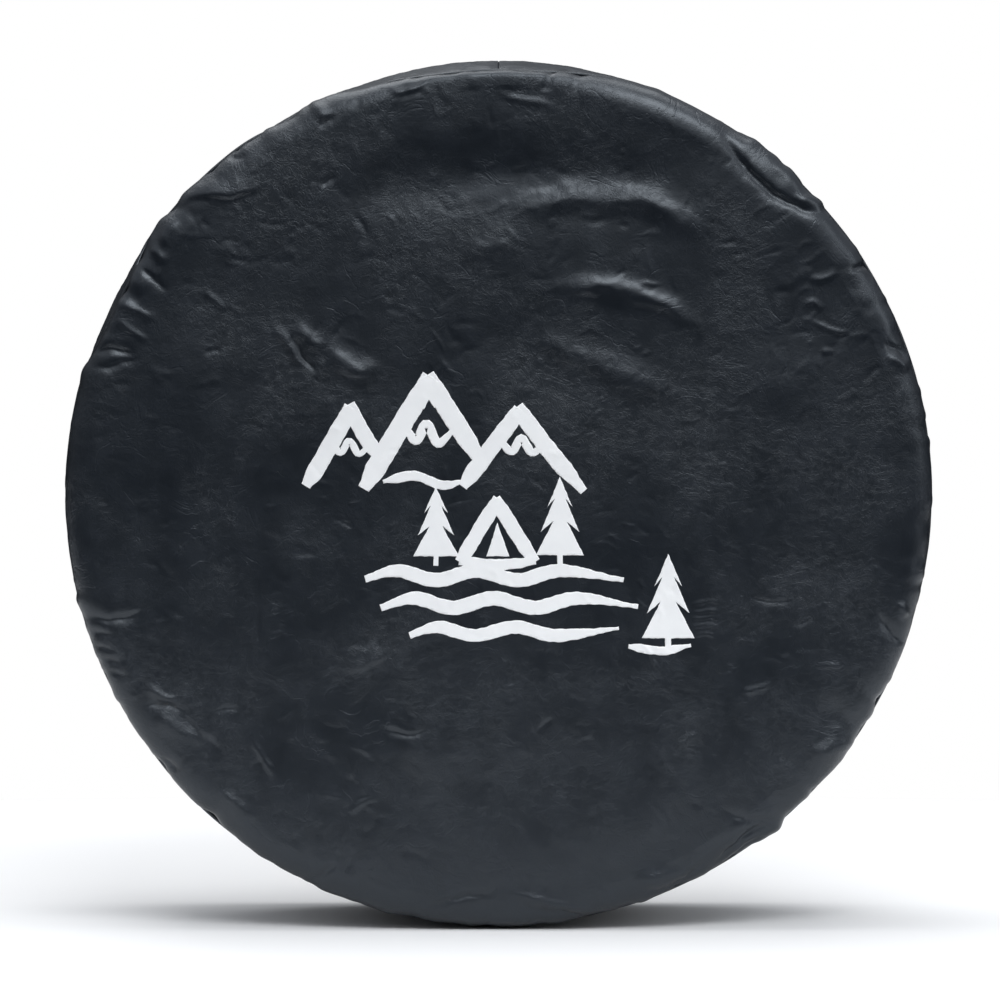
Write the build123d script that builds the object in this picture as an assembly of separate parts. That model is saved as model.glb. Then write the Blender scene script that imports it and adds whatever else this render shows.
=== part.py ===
from build123d import *
import math
import os

# Spare tyre cover for an RV or caravan, 15 inch size, in the shape it takes on its tyre.
# A sewn drum of soft vinyl: a round front panel, a tread band and a back skirt that is drawn
# in by an elastic hem. A webbing strap with a side release buckle ties it across the back.
#
# Frame: the origin is the centre of the tyre it fits, +Y is the wheel's axis from the front
# panel to the back, +Z is up. Lengths are millimetres and angles are degrees, measured from
# +X towards +Z. Round pieces are drawn as a profile of (radius, y) and turned about Y.

# Shell: driving dimensions
BAND_RADIUS = 362.0        # outside of the tread band at its middle
BAND_BARREL = 5.0          # how much smaller the band is at its two edges
BAND_HALF_WIDTH = 95.0
VINYL = 1.2                # leatherette with its bonded knit backing
TAPE = 0.5                 # woven tape that binds raw edges
GAP = 0.3                  # clearance between neighbouring layers
FACE_Y = 114.0             # outside of the flat front and of the flat back
FLAT_RADIUS = 300.0        # where the flat front starts to curve towards the seam
ALLOWANCE_END = 84.0       # seam allowances are turned in and end at this distance from y = 0

# Front seam with its piping
FRONT_EDGE_RADIUS = 354.3  # outside of the front panel's turned-in allowance
FRONT_EDGE_Y = 97.3
PIPING_RADIUS = 356.6      # circle on which the piping cord runs
PIPING_Y = 97.3
SLEEVE_OUTER = 1.8
SLEEVE_INNER = 1.05
CORE_RADIUS = 1.0

# Back seam and elastic hem
BACK_EDGE_RADIUS = 355.5
BACK_EDGE_Y = 96.6
HEM_RADIUS = 222.0         # clear radius of the opening in the back
HEM_WIDTH = 20.0
HEM_WALL = 0.8
SKIRT_INNER_RADIUS = HEM_RADIUS + 14.0
ELASTIC_INNER_RADIUS = HEM_RADIUS + 2.0
ELASTIC_WIDTH = 10.0
SKIRT_TAPE_LOW = HEM_RADIUS + HEM_WIDTH + 3.0
SKIRT_TAPE_HIGH = FLAT_RADIUS - 4.0
SKIRT_TAPE_WIDTH = 18.0

# Strips that make up the round band and the skirt
GUSSET_HALF_ANGLE = 12.0   # the drain gusset spans this much each side of the bottom
STRIP_GAP = 0.05           # degrees left open at each end of a strip, so that strips only meet
JOIN_TAPE_HALF_ANGLE = 2.0
TOP = 90.0
BOTTOM = 270.0

# Drain eyelets in the gusset
EYELET_OFFSET = 5.0        # degrees each side of the bottom
EYELET_BORE = 5.0
EYELET_BARREL = 5.9
EYELET_FLANGE = 9.5
EYELET_FLANGE_THICK = 1.2
EYELET_HOLE = 6.2
WASHER_THICK = 0.8
ROLLED_RIM = 7.6
ROLLED_RIM_THICK = 0.9

# Strap across the back
STRAP_Z = -120.0
STRAP_WIDTH = 25.0
WEBBING = 1.4
PATCH_THICK = 1.5
STRAP_Y = FACE_Y + 2.0     # side of the webbing that faces the tyre
STRAP_END = 266.0          # x of the sewn ends
PATCH_LENGTH = 46.0
PATCH_HEIGHT = 50.0
PATCH_CENTRE = 248.5
THREAD = 0.3               # radius of the sewing thread

# Side release buckle, for 25 mm webbing. Its middle plane is BUCKLE_Y.
BAR_RADIUS = 1.6
LOOP_RADIUS = BAR_RADIUS + GAP
BUCKLE_Y = STRAP_Y + WEBBING + LOOP_RADIUS
RECEPTACLE_BAR_X = -32.4
RECEPTACLE_BACK_X = -25.5
MOUTH_X = 4.0
BUCKLE_HALF_WIDTH = 17.0
BUCKLE_HALF_THICK = 4.5
CAVITY_HALF_WIDTH = 13.5
CAVITY_HALF_THICK = 2.7
CAVITY_END_X = -23.0
WINDOW_BACK_X = -20.0
WINDOW_FRONT_X = -7.0
WINDOW_HALF_THICK = 3.2
BLOCK_START_X = 5.0
BLOCK_END_X = 12.0
TONGUE_TIP_X = -20.0
TONGUE_HALF_WIDTH = 2.4
INSERT_HALF_THICK = 2.3
GRIP_BAR_X = 16.5
OUTER_BAR_X = 26.6
OUTER_BAR_RISE = 1.8       # the strap's tail runs back under this bar
RAIL_END_X = 28.2
RAIL_INNER = 13.2
RAIL_OUTER = 16.5
ARM_HINGE_X = 6.2
ARM_HINGE_Z = 8.4
KNUCKLE_RADIUS = 1.8
KNUCKLE_CLEARANCE = 0.08
ARM_HALF_WIDTH = 1.1

# Keeper that holds the strap's loose end
KEEPER_X = 95.0
KEEPER_LENGTH = 15.0
KEEPER_WALL = 1.5
TAIL_END_X = 165.0


def turned(profile, start=0.0, end=360.0):
    """A profile of (radius, y) turned about Y, from one angle to another."""
    solid = revolve(profile, axis=Axis.Y, revolution_arc=end - start)
    return Rot(0, -end, 0) * solid


def polygon(*points):
    """A face with straight sides through the points."""
    return make_face(Polyline(*points, close=True))


def rectangle(low, high):
    """A face from its low corner to its high corner."""
    return polygon(low, (high[0], low[1]), high, (low[0], high[1]))


def shoulder_arc(radius, centre, end_radius, side):
    """The curve from a flat face to the seam, in the (radius, y) plane."""
    angle = math.asin((end_radius - centre[0]) / radius)
    middle = angle / 2
    return ThreePointArc(
        (centre[0], side * (centre[1] + radius)),
        (centre[0] + radius * math.sin(middle), side * (centre[1] + radius * math.cos(middle))),
        (end_radius, side * (centre[1] + radius * math.cos(angle))),
    )


def shoulder(edge_radius, edge_y):
    """Radius and centre of the shoulder curve that ends at the seam."""
    run = edge_radius - FLAT_RADIUS
    drop = FACE_Y - edge_y
    radius = (run * run + drop * drop) / (2 * drop)
    return radius, (FLAT_RADIUS, FACE_Y - radius)


def panel_profile(side, start_radius, edge_radius, edge_y):
    """A flat panel, its curved shoulder and the seam allowance that is turned in."""
    radius, centre = shoulder(edge_radius, edge_y)
    outer = shoulder_arc(radius, centre, edge_radius, side)
    inner = shoulder_arc(radius - VINYL, centre, edge_radius - VINYL, side)
    face_out, face_in = side * FACE_Y, side * (FACE_Y - VINYL)
    leg_end = side * ALLOWANCE_END
    return make_face([
        Line((start_radius, face_out), outer @ 0),
        outer,
        Line(outer @ 1, (edge_radius, leg_end)),
        Line((edge_radius, leg_end), (edge_radius - VINYL, leg_end)),
        Line((edge_radius - VINYL, leg_end), inner @ 1),
        inner,
        Line(inner @ 0, (start_radius, face_in)),
        Line((start_radius, face_in), (start_radius, face_out)),
    ])


def band_profile(inset, thickness, half_width):
    """A barrel-shaped strip, inset from the outside of the tread band."""
    edge = BAND_BARREL * (half_width / BAND_HALF_WIDTH) ** 2
    outer, inner = BAND_RADIUS - inset, BAND_RADIUS - inset - thickness
    return make_face([
        ThreePointArc((outer - edge, -half_width), (outer, 0), (outer - edge, half_width)),
        Line((outer - edge, half_width), (inner - edge, half_width)),
        ThreePointArc((inner - edge, half_width), (inner, 0), (inner - edge, -half_width)),
        Line((inner - edge, -half_width), (outer - edge, -half_width)),
    ])


def seam_tape_profile(side, low_radius, high_radius):
    """A folded tape that binds the seam allowances between two radii."""
    start, end = ALLOWANCE_END + 4.0, ALLOWANCE_END - GAP - TAPE
    fold = ALLOWANCE_END - GAP
    return polygon(
        (low_radius - TAPE, side * start),
        (low_radius, side * start),
        (low_radius, side * fold),
        (high_radius, side * fold),
        (high_radius, side * start),
        (high_radius + TAPE, side * start),
        (high_radius + TAPE, side * end),
        (low_radius - TAPE, side * end),
    )


def front_shell():
    """The front panel, the piping and the tape that binds the front seam."""
    flange_outer = FRONT_EDGE_RADIUS + GAP + 1.1
    sleeve = Pos(PIPING_RADIUS, -PIPING_Y) * Circle(SLEEVE_OUTER)
    flange = rectangle((FRONT_EDGE_RADIUS + GAP, -PIPING_Y), (flange_outer, -ALLOWANCE_END))
    bore = Pos(PIPING_RADIUS, -PIPING_Y) * Circle(SLEEVE_INNER)
    core = Pos(PIPING_RADIUS, -PIPING_Y) * Circle(CORE_RADIUS)
    tape = seam_tape_profile(-1, FRONT_EDGE_RADIUS - VINYL - GAP, flange_outer + 0.2)
    return {
        "front_panel": turned(panel_profile(-1, 0, FRONT_EDGE_RADIUS, FRONT_EDGE_Y)),
        "front_piping_sleeve": turned((sleeve + flange) - bore),
        "front_piping_cord": turned(core),
        "front_seam_tape": turned(tape),
    }


def eyelet_frame(angle, radius):
    """Puts a piece drawn along +Z at the origin on the band, pointing outwards."""
    return Rot(0, 90 - angle, 0) * Pos(0, 0, radius)


def tube(outer, inner, length):
    """A short tube that rises from z = 0."""
    rise = (Align.CENTER, Align.CENTER, Align.MIN)
    return Cylinder(outer, length, align=rise) - Cylinder(inner, length, align=rise)


def eyelet():
    """A two-part drain eyelet, drawn along +Z with its flange's outside at z = 0."""
    washer_top = -(EYELET_FLANGE_THICK + VINYL + 0.5)
    rim_top = washer_top - WASHER_THICK - 0.2
    rim_low = rim_top - ROLLED_RIM_THICK
    barrel = Pos(0, 0, rim_low) * tube(EYELET_BARREL, EYELET_BORE, -rim_low)
    flange = Pos(0, 0, -EYELET_FLANGE_THICK) * tube(EYELET_FLANGE, EYELET_BORE, EYELET_FLANGE_THICK)
    flange = fillet(flange.edges().filter_by(GeomType.CIRCLE).group_by(Axis.Z)[-1].sort_by(
        SortBy.RADIUS)[-1], 0.8)
    rim = Pos(0, 0, rim_low) * tube(ROLLED_RIM, EYELET_BORE, ROLLED_RIM_THICK)
    rim = fillet(rim.edges().filter_by(GeomType.CIRCLE).group_by(Axis.Z)[0].sort_by(
        SortBy.RADIUS)[-1], 0.5)
    washer = Pos(0, 0, washer_top - WASHER_THICK) * tube(
        EYELET_FLANGE - 0.5, EYELET_BARREL + 0.1, WASHER_THICK)
    return barrel + flange + rim, washer


def tread_band():
    """The tread band's strips, the drain gusset with its eyelets, and the tapes behind the joins."""
    band = band_profile(0, VINYL, BAND_HALF_WIDTH)
    join = band_profile(VINYL + GAP, TAPE, ALLOWANCE_END - 6.0)
    left_join = BOTTOM - GUSSET_HALF_ANGLE
    right_join = BOTTOM + GUSSET_HALF_ANGLE
    gusset = turned(band, left_join + STRIP_GAP, right_join - STRIP_GAP)
    barrels, washers = [], []
    for angle in (BOTTOM - EYELET_OFFSET, BOTTOM + EYELET_OFFSET):
        gusset -= eyelet_frame(angle, BAND_RADIUS) * Cylinder(EYELET_HOLE, 8)
        barrel, washer = eyelet()
        stand_off = BAND_RADIUS + 0.1 + EYELET_FLANGE_THICK
        barrels.append(eyelet_frame(angle, stand_off) * barrel)
        washers.append(eyelet_frame(angle, stand_off) * washer)
    joins = [
        turned(join, angle - JOIN_TAPE_HALF_ANGLE, angle + JOIN_TAPE_HALF_ANGLE)
        for angle in (left_join, right_join)
    ]
    return {
        "tread_band_left": turned(band, TOP + STRIP_GAP, left_join - STRIP_GAP),
        "tread_band_right": turned(band, right_join - 360 + STRIP_GAP, TOP - STRIP_GAP),
        "drain_gusset": gusset,
        "drain_eyelet_barrels": Compound(children=barrels),
        "drain_eyelet_washers": Compound(children=washers),
        "top_join_tape": turned(join, TOP - JOIN_TAPE_HALF_ANGLE, TOP + JOIN_TAPE_HALF_ANGLE),
        "gusset_join_tapes": Compound(children=joins),
    }


def back_shell():
    """The back skirt in two halves, the tape of the back seam, and the elastic hem."""
    skirt = panel_profile(1, SKIRT_INNER_RADIUS, BACK_EDGE_RADIUS, BACK_EDGE_Y)
    wall_low = (FACE_Y - VINYL - 0.2 - HEM_WALL, FACE_Y - VINYL - 0.2)
    wall_high = (FACE_Y + 0.2, FACE_Y + 0.2 + HEM_WALL)
    hem_open = HEM_RADIUS + HEM_WIDTH
    casing = polygon(
        (hem_open, wall_low[0]),
        (HEM_RADIUS + 0.6, wall_low[0]),
        (HEM_RADIUS, wall_low[0] + 0.6),
        (HEM_RADIUS, wall_high[1] - 0.6),
        (HEM_RADIUS + 0.6, wall_high[1]),
        (hem_open, wall_high[1]),
        (hem_open, wall_high[0]),
        (HEM_RADIUS + HEM_WALL, wall_high[0]),
        (HEM_RADIUS + HEM_WALL, wall_low[1]),
        (hem_open, wall_low[1]),
    )
    elastic = rectangle(
        (ELASTIC_INNER_RADIUS, FACE_Y - VINYL),
        (ELASTIC_INNER_RADIUS + ELASTIC_WIDTH, FACE_Y),
    )
    tape = seam_tape_profile(1, BACK_EDGE_RADIUS - VINYL - GAP, BACK_EDGE_RADIUS + 0.2)
    tape_y = FACE_Y - VINYL - GAP
    join = Plane.XZ.offset(-tape_y) * Pos(0, (SKIRT_TAPE_LOW + SKIRT_TAPE_HIGH) / 2) * Rectangle(
        SKIRT_TAPE_WIDTH, SKIRT_TAPE_HIGH - SKIRT_TAPE_LOW)
    join = extrude(join, TAPE)
    return {
        "back_skirt_left": turned(skirt, TOP + STRIP_GAP, BOTTOM - STRIP_GAP),
        "back_skirt_right": turned(skirt, BOTTOM - 360 + STRIP_GAP, TOP - STRIP_GAP),
        "back_seam_tape": turned(tape),
        "skirt_join_tapes": Compound(children=[join, Rot(0, 180, 0) * join]),
        "hem_casing": turned(casing),
        "hem_elastic": turned(elastic),
    }


def thread_ring(radius, y):
    """One round row of lockstitch."""
    return turned(Pos(radius, y) * Circle(THREAD))


def thread_line(start, end):
    """A straight run of thread between two points."""
    length = math.dist(start, end)
    plane = Plane(origin=start, z_dir=Vector(*end) - Vector(*start))
    rise = (Align.CENTER, Align.CENTER, Align.MIN)
    return plane * Cylinder(THREAD, length, align=rise)


def box_stitch(centre_x):
    """The square with a cross through it that sews a strap's end to its patch."""
    half_x, half_z, y = 15.0, 9.0, STRAP_Y + WEBBING + 0.1 + THREAD
    corners = [
        (centre_x + sx * half_x, y, STRAP_Z + sz * half_z)
        for sx, sz in ((-1, -1), (1, -1), (1, 1), (-1, 1))
    ]
    runs = [(0, 1), (1, 2), (2, 3), (3, 0), (0, 2), (1, 3)]
    lines = [thread_line(corners[a], corners[b]) for a, b in runs]
    knots = [Pos(*corner) * Sphere(THREAD) for corner in corners]
    stitch = lines[0]
    for piece in lines[1:] + knots:
        stitch += piece
    return stitch


def band_row(angle):
    """A row of stitches across the outside of the tread band."""
    half = BAND_HALF_WIDTH - 4.0
    lift = BAND_RADIUS + 0.1 + THREAD
    end = lift - BAND_BARREL * (half / BAND_HALF_WIDTH) ** 2
    path = ThreePointArc((end, -half), (lift, 0), (end, half))
    section = Plane(origin=path @ 0, z_dir=path % 0) * Circle(THREAD)
    return Rot(0, -angle, 0) * sweep(section, path=path)


def skirt_row(angle, shift):
    """A row of stitches down the outside of the back skirt, beside one of its joins."""
    lift = 0.1 + THREAD
    radius, centre = shoulder(BACK_EDGE_RADIUS, BACK_EDGE_Y)
    curve = shoulder_arc(radius + lift, centre, BACK_EDGE_RADIUS - 2.0, 1)
    path = Line((SKIRT_TAPE_LOW + 1.0, FACE_Y + lift), curve @ 0) + curve
    section = Plane(origin=(SKIRT_TAPE_LOW + 1.0, FACE_Y + lift, 0), z_dir=(1, 0, 0)) * Circle(THREAD)
    return Rot(0, -angle, 0) * Pos(0, 0, shift) * sweep(section, path=path)


def threads():
    """The sewing thread of each seam, where it shows on the surface."""
    front_tape = FRONT_EDGE_RADIUS - VINYL - GAP - TAPE
    back_tape = BACK_EDGE_RADIUS - VINYL - GAP - TAPE
    row_y = ALLOWANCE_END + 2.0
    joins = (TOP, BOTTOM - GUSSET_HALF_ANGLE, BOTTOM + GUSSET_HALF_ANGLE)
    rows = [band_row(angle + side) for angle in joins for side in (-0.8, 0.8)]
    skirt_rows = [skirt_row(angle, side) for angle in (TOP, BOTTOM) for side in (-5.0, 5.0)]
    hem_y = FACE_Y + 0.2 + HEM_WALL + 0.1 + THREAD
    stitch_centre = STRAP_END - 18.0
    return {
        "front_seam_thread": thread_ring(front_tape - 0.1 - THREAD, -row_y),
        "back_seam_thread": thread_ring(back_tape - 0.1 - THREAD, row_y),
        "hem_thread": thread_ring(HEM_RADIUS + HEM_WIDTH - 3.0, hem_y),
        "band_join_thread": Compound(children=rows),
        "skirt_join_thread": Compound(children=skirt_rows),
        "strap_box_thread": Compound(children=[box_stitch(-stitch_centre), box_stitch(stitch_centre)]),
    }


def webbing(outline):
    """An outline in (x, y) given the strap's width, centred on the strap's height."""
    plane = Plane(origin=(0, 0, STRAP_Z - STRAP_WIDTH / 2), x_dir=(1, 0, 0), z_dir=(0, 0, 1))
    return extrude(plane * outline, STRAP_WIDTH)


def looped_strap(bar_x, side, sewn_x, drop_length, tail_x, lie_gap):
    """A strap that turns round a bar and lies back on itself. side is +1 if it comes from +X."""
    low, high = STRAP_Y, STRAP_Y + WEBBING
    outer, inner = LOOP_RADIUS + WEBBING, LOOP_RADIUS
    top, under = BUCKLE_Y + outer, BUCKLE_Y + inner
    lie_low, lie_high = high + lie_gap, high + lie_gap + WEBBING
    off_bar_x = bar_x + side * 1.0
    rest_x = off_bar_x + side * drop_length
    return make_face([
        Line((sewn_x, low), (bar_x, low)),
        ThreePointArc((bar_x, low), (bar_x - side * outer, BUCKLE_Y), (bar_x, top)),
        Line((bar_x, top), (off_bar_x, top)),
        Line((off_bar_x, top), (rest_x, lie_high)),
        Line((rest_x, lie_high), (tail_x, lie_high)),
        Line((tail_x, lie_high), (tail_x, lie_low)),
        Line((tail_x, lie_low), (rest_x, lie_low)),
        Line((rest_x, lie_low), (off_bar_x, under)),
        Line((off_bar_x, under), (bar_x, under)),
        ThreePointArc((bar_x, under), (bar_x - side * inner, BUCKLE_Y), (bar_x, high)),
        Line((bar_x, high), (sewn_x, high)),
        Line((sewn_x, high), (sewn_x, low)),
    ])


def straps():
    """The two webbing straps, the patches they are sewn to and the keeper."""
    left = looped_strap(RECEPTACLE_BAR_X, -1, -STRAP_END, 16.0, -95.0, 0.2)
    right = looped_strap(GRIP_BAR_X, 1, STRAP_END, 6.5, TAIL_END_X, GAP)
    patch = RectangleRounded(PATCH_LENGTH, PATCH_HEIGHT, 8)
    patch_y = FACE_Y + 0.2 + PATCH_THICK
    patches = {}
    for name, side in (("left", -1), ("right", 1)):
        plane = Plane(origin=(side * PATCH_CENTRE, patch_y, STRAP_Z), x_dir=(1, 0, 0), z_dir=(0, -1, 0))
        patches["strap_patch_" + name] = extrude(plane * patch, PATCH_THICK)
    inside_z = STRAP_WIDTH + 1.0
    inside_low, inside_high = STRAP_Y - GAP, STRAP_Y + 2 * WEBBING + 2 * GAP
    middle = (inside_low + inside_high) / 2
    height = inside_high - inside_low
    keeper = Box(KEEPER_LENGTH, height + 2 * KEEPER_WALL, inside_z + 2 * KEEPER_WALL)
    keeper = fillet(keeper.edges().filter_by(Axis.X), 1.2)
    keeper -= Box(KEEPER_LENGTH + 2, height, inside_z)
    return {
        "strap_left": webbing(left),
        "strap_right": webbing(right),
        **patches,
        "strap_keeper": Pos(KEEPER_X, middle, STRAP_Z) * keeper,
    }


def in_buckle(piece):
    """Places a piece drawn with its width along Y and its thickness along Z at the buckle."""
    return Pos(0, BUCKLE_Y, STRAP_Z) * Rot(-90, 0, 0) * piece


def slab(low, high, half_thick):
    """A block from one (x, width) corner to the other, centred on the middle plane."""
    return extrude(rectangle(low, high), half_thick, both=True)


def bar(x, half_width, rise=0.0):
    """A round bar across the buckle that webbing turns round."""
    return Pos(x, 0, rise) * Rot(90, 0, 0) * Cylinder(BAR_RADIUS, 2 * half_width)


def receptacle():
    """The female half: a flat housing with an open mouth, two side windows and a webbing bar."""
    body = slab((RECEPTACLE_BACK_X, -BUCKLE_HALF_WIDTH), (MOUTH_X, BUCKLE_HALF_WIDTH), BUCKLE_HALF_THICK)
    body = fillet(body.edges().filter_by(Axis.Z).group_by(Axis.X)[0], 4.0)
    body = fillet(body.faces().sort_by(Axis.Z)[-1].edges(), 1.4)
    body = fillet(body.faces().sort_by(Axis.Z)[0].edges(), 1.4)
    cavity = slab((CAVITY_END_X, -CAVITY_HALF_WIDTH), (MOUTH_X + 1, CAVITY_HALF_WIDTH), CAVITY_HALF_THICK)
    windows = slab(
        (WINDOW_BACK_X, -BUCKLE_HALF_WIDTH - 1),
        (WINDOW_FRONT_X, BUCKLE_HALF_WIDTH + 1),
        WINDOW_HALF_THICK,
    )
    housing = body - cavity - windows
    rails = Part()
    for side in (-1, 1):
        rail = slab(
            (RECEPTACLE_BAR_X - BAR_RADIUS, side * RAIL_INNER),
            (RECEPTACLE_BACK_X + 2, side * (RAIL_OUTER - 0.5)),
            BAR_RADIUS,
        )
        rails += fillet(rail.edges().filter_by(Axis.X), 0.8)
    for offset in (-4.0, 0.0, 4.0):
        groove = Pos(-13.5 + offset, 0, BUCKLE_HALF_THICK) * Rot(90, 0, 0) * Cylinder(0.6, 14)
        housing -= groove
    return housing + rails + bar(RECEPTACLE_BAR_X, RAIL_INNER + 1)


def insert():
    """The male half: a block with a centre tongue, two arm sockets, rails and two webbing bars."""
    block = slab((BLOCK_START_X, -BUCKLE_HALF_WIDTH), (BLOCK_END_X, BUCKLE_HALF_WIDTH), BUCKLE_HALF_THICK)
    block = fillet(block.faces().sort_by(Axis.Z)[-1].edges(), 1.2)
    block = fillet(block.faces().sort_by(Axis.Z)[0].edges(), 1.2)
    tongue = slab(
        (TONGUE_TIP_X, -TONGUE_HALF_WIDTH), (BLOCK_START_X + 1, TONGUE_HALF_WIDTH), INSERT_HALF_THICK)
    tongue = chamfer(tongue.edges().filter_by(Axis.Z).group_by(Axis.X)[0], 1.2)
    frame = block + tongue
    for side in (-1, 1):
        rail = slab(
            (BLOCK_END_X - 1, side * RAIL_INNER),
            (RAIL_END_X, side * RAIL_OUTER),
            BAR_RADIUS + OUTER_BAR_RISE / 2,
        )
        rail = fillet(rail.edges().filter_by(Axis.X), 0.8)
        frame += Pos(0, 0, OUTER_BAR_RISE / 2) * rail
        socket_radius = KNUCKLE_RADIUS + KNUCKLE_CLEARANCE
        socket = Pos(ARM_HINGE_X, side * ARM_HINGE_Z, 0) * Cylinder(
            socket_radius, 2 * (INSERT_HALF_THICK + GAP))
        frame -= socket
    grip_bar = bar(GRIP_BAR_X, RAIL_INNER + 1)
    outer_bar = bar(OUTER_BAR_X, RAIL_INNER + 1, OUTER_BAR_RISE)
    return frame + grip_bar + outer_bar


def latch_arm(side):
    """One springy arm with its thumb pad, drawn on the +Y side and mirrored for the other."""
    beam = slab(
        (-9.0, ARM_HINGE_Z - ARM_HALF_WIDTH),
        (ARM_HINGE_X, ARM_HINGE_Z + ARM_HALF_WIDTH),
        INSERT_HALF_THICK,
    )
    knuckle = Pos(ARM_HINGE_X, ARM_HINGE_Z, 0) * Cylinder(KNUCKLE_RADIUS, 2 * INSERT_HALF_THICK)
    pad_front, pad_back = WINDOW_FRONT_X - 0.6, WINDOW_BACK_X + 0.8
    pad = extrude(
        make_face([
            Line((pad_front, ARM_HINGE_Z - ARM_HALF_WIDTH), (pad_front, 16.4)),
            ThreePointArc((pad_front, 16.4), (-11.5, 17.9), (-16.0, 15.6)),
            ThreePointArc((-16.0, 15.6), (-18.0, 13.4), (pad_back, 10.2)),
            Line((pad_back, 10.2), (-17.0, 8.9)),
            Line((-17.0, 8.9), (-10.5, ARM_HINGE_Z - ARM_HALF_WIDTH)),
            Line((-10.5, ARM_HINGE_Z - ARM_HALF_WIDTH), (pad_front, ARM_HINGE_Z - ARM_HALF_WIDTH)),
        ]),
        INSERT_HALF_THICK,
        both=True,
    )
    arm = beam + knuckle + pad
    return arm if side > 0 else mirror(arm, about=Plane.XZ)


def buckle():
    """The two halves of the side release buckle and the two latch arms."""
    return {
        "buckle_receptacle": in_buckle(receptacle()),
        "buckle_insert": in_buckle(insert()),
        "latch_arm_upper": in_buckle(latch_arm(-1)),
        "latch_arm_lower": in_buckle(latch_arm(1)),
    }


def main():
    os.makedirs("parts", exist_ok=True)
    nodes = {
        **front_shell(),
        **tread_band(),
        **back_shell(),
        **threads(),
        **straps(),
        **buckle(),
    }
    for name, shape in nodes.items():
        export_step(shape, f"parts/{name}.step")


main()
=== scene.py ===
import math

import bmesh
import bpy
import numpy as np
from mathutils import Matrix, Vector
from mathutils.bvhtree import BVHTree
from mathutils.geometry import delaunay_2d_cdt


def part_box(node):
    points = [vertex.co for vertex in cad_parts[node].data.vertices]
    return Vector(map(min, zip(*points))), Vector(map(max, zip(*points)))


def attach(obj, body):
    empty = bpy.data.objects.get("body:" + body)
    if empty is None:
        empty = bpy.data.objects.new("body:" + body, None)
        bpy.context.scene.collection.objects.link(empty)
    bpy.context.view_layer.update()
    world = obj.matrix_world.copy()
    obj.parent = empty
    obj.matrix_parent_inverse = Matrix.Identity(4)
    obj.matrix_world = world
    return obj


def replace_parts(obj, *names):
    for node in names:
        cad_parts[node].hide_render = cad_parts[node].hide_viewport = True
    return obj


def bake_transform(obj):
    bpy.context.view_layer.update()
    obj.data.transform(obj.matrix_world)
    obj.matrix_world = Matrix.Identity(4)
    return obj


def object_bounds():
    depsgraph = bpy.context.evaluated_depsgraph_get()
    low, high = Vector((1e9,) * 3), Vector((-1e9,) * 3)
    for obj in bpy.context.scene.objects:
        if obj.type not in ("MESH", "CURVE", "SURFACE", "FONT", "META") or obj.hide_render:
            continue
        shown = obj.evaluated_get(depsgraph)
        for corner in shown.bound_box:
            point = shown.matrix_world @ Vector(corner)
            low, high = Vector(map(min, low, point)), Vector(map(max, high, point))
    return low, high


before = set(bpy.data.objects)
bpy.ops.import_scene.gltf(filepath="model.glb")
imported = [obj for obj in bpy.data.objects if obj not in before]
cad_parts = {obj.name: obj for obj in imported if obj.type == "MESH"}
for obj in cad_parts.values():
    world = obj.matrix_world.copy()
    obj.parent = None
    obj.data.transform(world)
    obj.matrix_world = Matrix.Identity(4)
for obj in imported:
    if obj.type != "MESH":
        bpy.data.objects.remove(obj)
cad_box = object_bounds()

MM = 0.001
VINYL = 1.2 * MM          # leatherette with its knit backing
BAND_RADIUS = 0.362       # outside of the tread band at its middle
BAND_BARREL = 0.005       # how much smaller the band is near its edges
BAND_HALF = 0.095         # from the band's middle to where that is measured
BACK_SEAM = (0.3556, 0.0968)      # radius and y of the seam behind the band
FACE_Y = 0.114            # the flat front is at -FACE_Y and the flat back at FACE_Y
FRONT_FLAT = 0.338        # radius where the front starts to curve to its seam
BACK_FLAT = 0.298         # radius where the back becomes flat
HEM_CLEAR = 0.222         # radius of the opening in the back
HEM_OUTER = 0.242
STRAP_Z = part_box("strap_keeper")[0][2] + 0.0145
STRAP_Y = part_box("strap_left")[0][1]
TOP, BOTTOM = 90.0, 270.0         # places round the cover, in degrees
GUSSET_HALF = 12.0
EYELETS = (265.0, 275.0)


# ---------------------------------------------------------------- numbers and noise
def smooth(t):
    """0 to 1 with soft ends."""
    t = np.clip(t, 0, 1)
    return t * t * (3 - 2 * t)


def turn_from(angle, centre, shift=0.0):
    """The way from one angle to another in degrees, from -180 to 180."""
    return (angle - centre + 180 + shift) % 360 - 180


def near(angle, centre, width):
    """A bell over angles in degrees, round the full circle."""
    return np.exp(-0.5 * (turn_from(angle, centre) / width) ** 2)


def around(r, y, theta):
    """Points at radius r and depth y, turned round the cover's axis by theta in radians."""
    r, y, theta = np.broadcast_arrays(r, y, theta)
    return np.stack([r * np.cos(theta), y, r * np.sin(theta)], axis=-1)


def bezier(t, p0, p1, p2, p3):
    return (1 - t) ** 3 * p0 + 3 * (1 - t) ** 2 * t * p1 + 3 * (1 - t) * t**2 * p2 + t**3 * p3


def with_normals(profile, t, step):
    """A profile's radius and y at each t, and the radius and y parts of its outward normal."""
    r, y = profile(t)
    r_after, y_after = profile(np.clip(t + step, 0, 1.01))
    r_before, y_before = profile(t - step)
    length = np.hypot(r_after - r_before, y_after - y_before)
    return r, y, (y_after - y_before) / length, -(r_after - r_before) / length


def resampled(line, at):
    """Points of a polyline at the given distances along it."""
    run = np.concatenate([[0], np.cumsum(np.linalg.norm(np.diff(line, axis=0), axis=1))])
    return np.stack([np.interp(at, run, line[:, k]) for k in range(line.shape[1])], axis=1)


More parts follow.
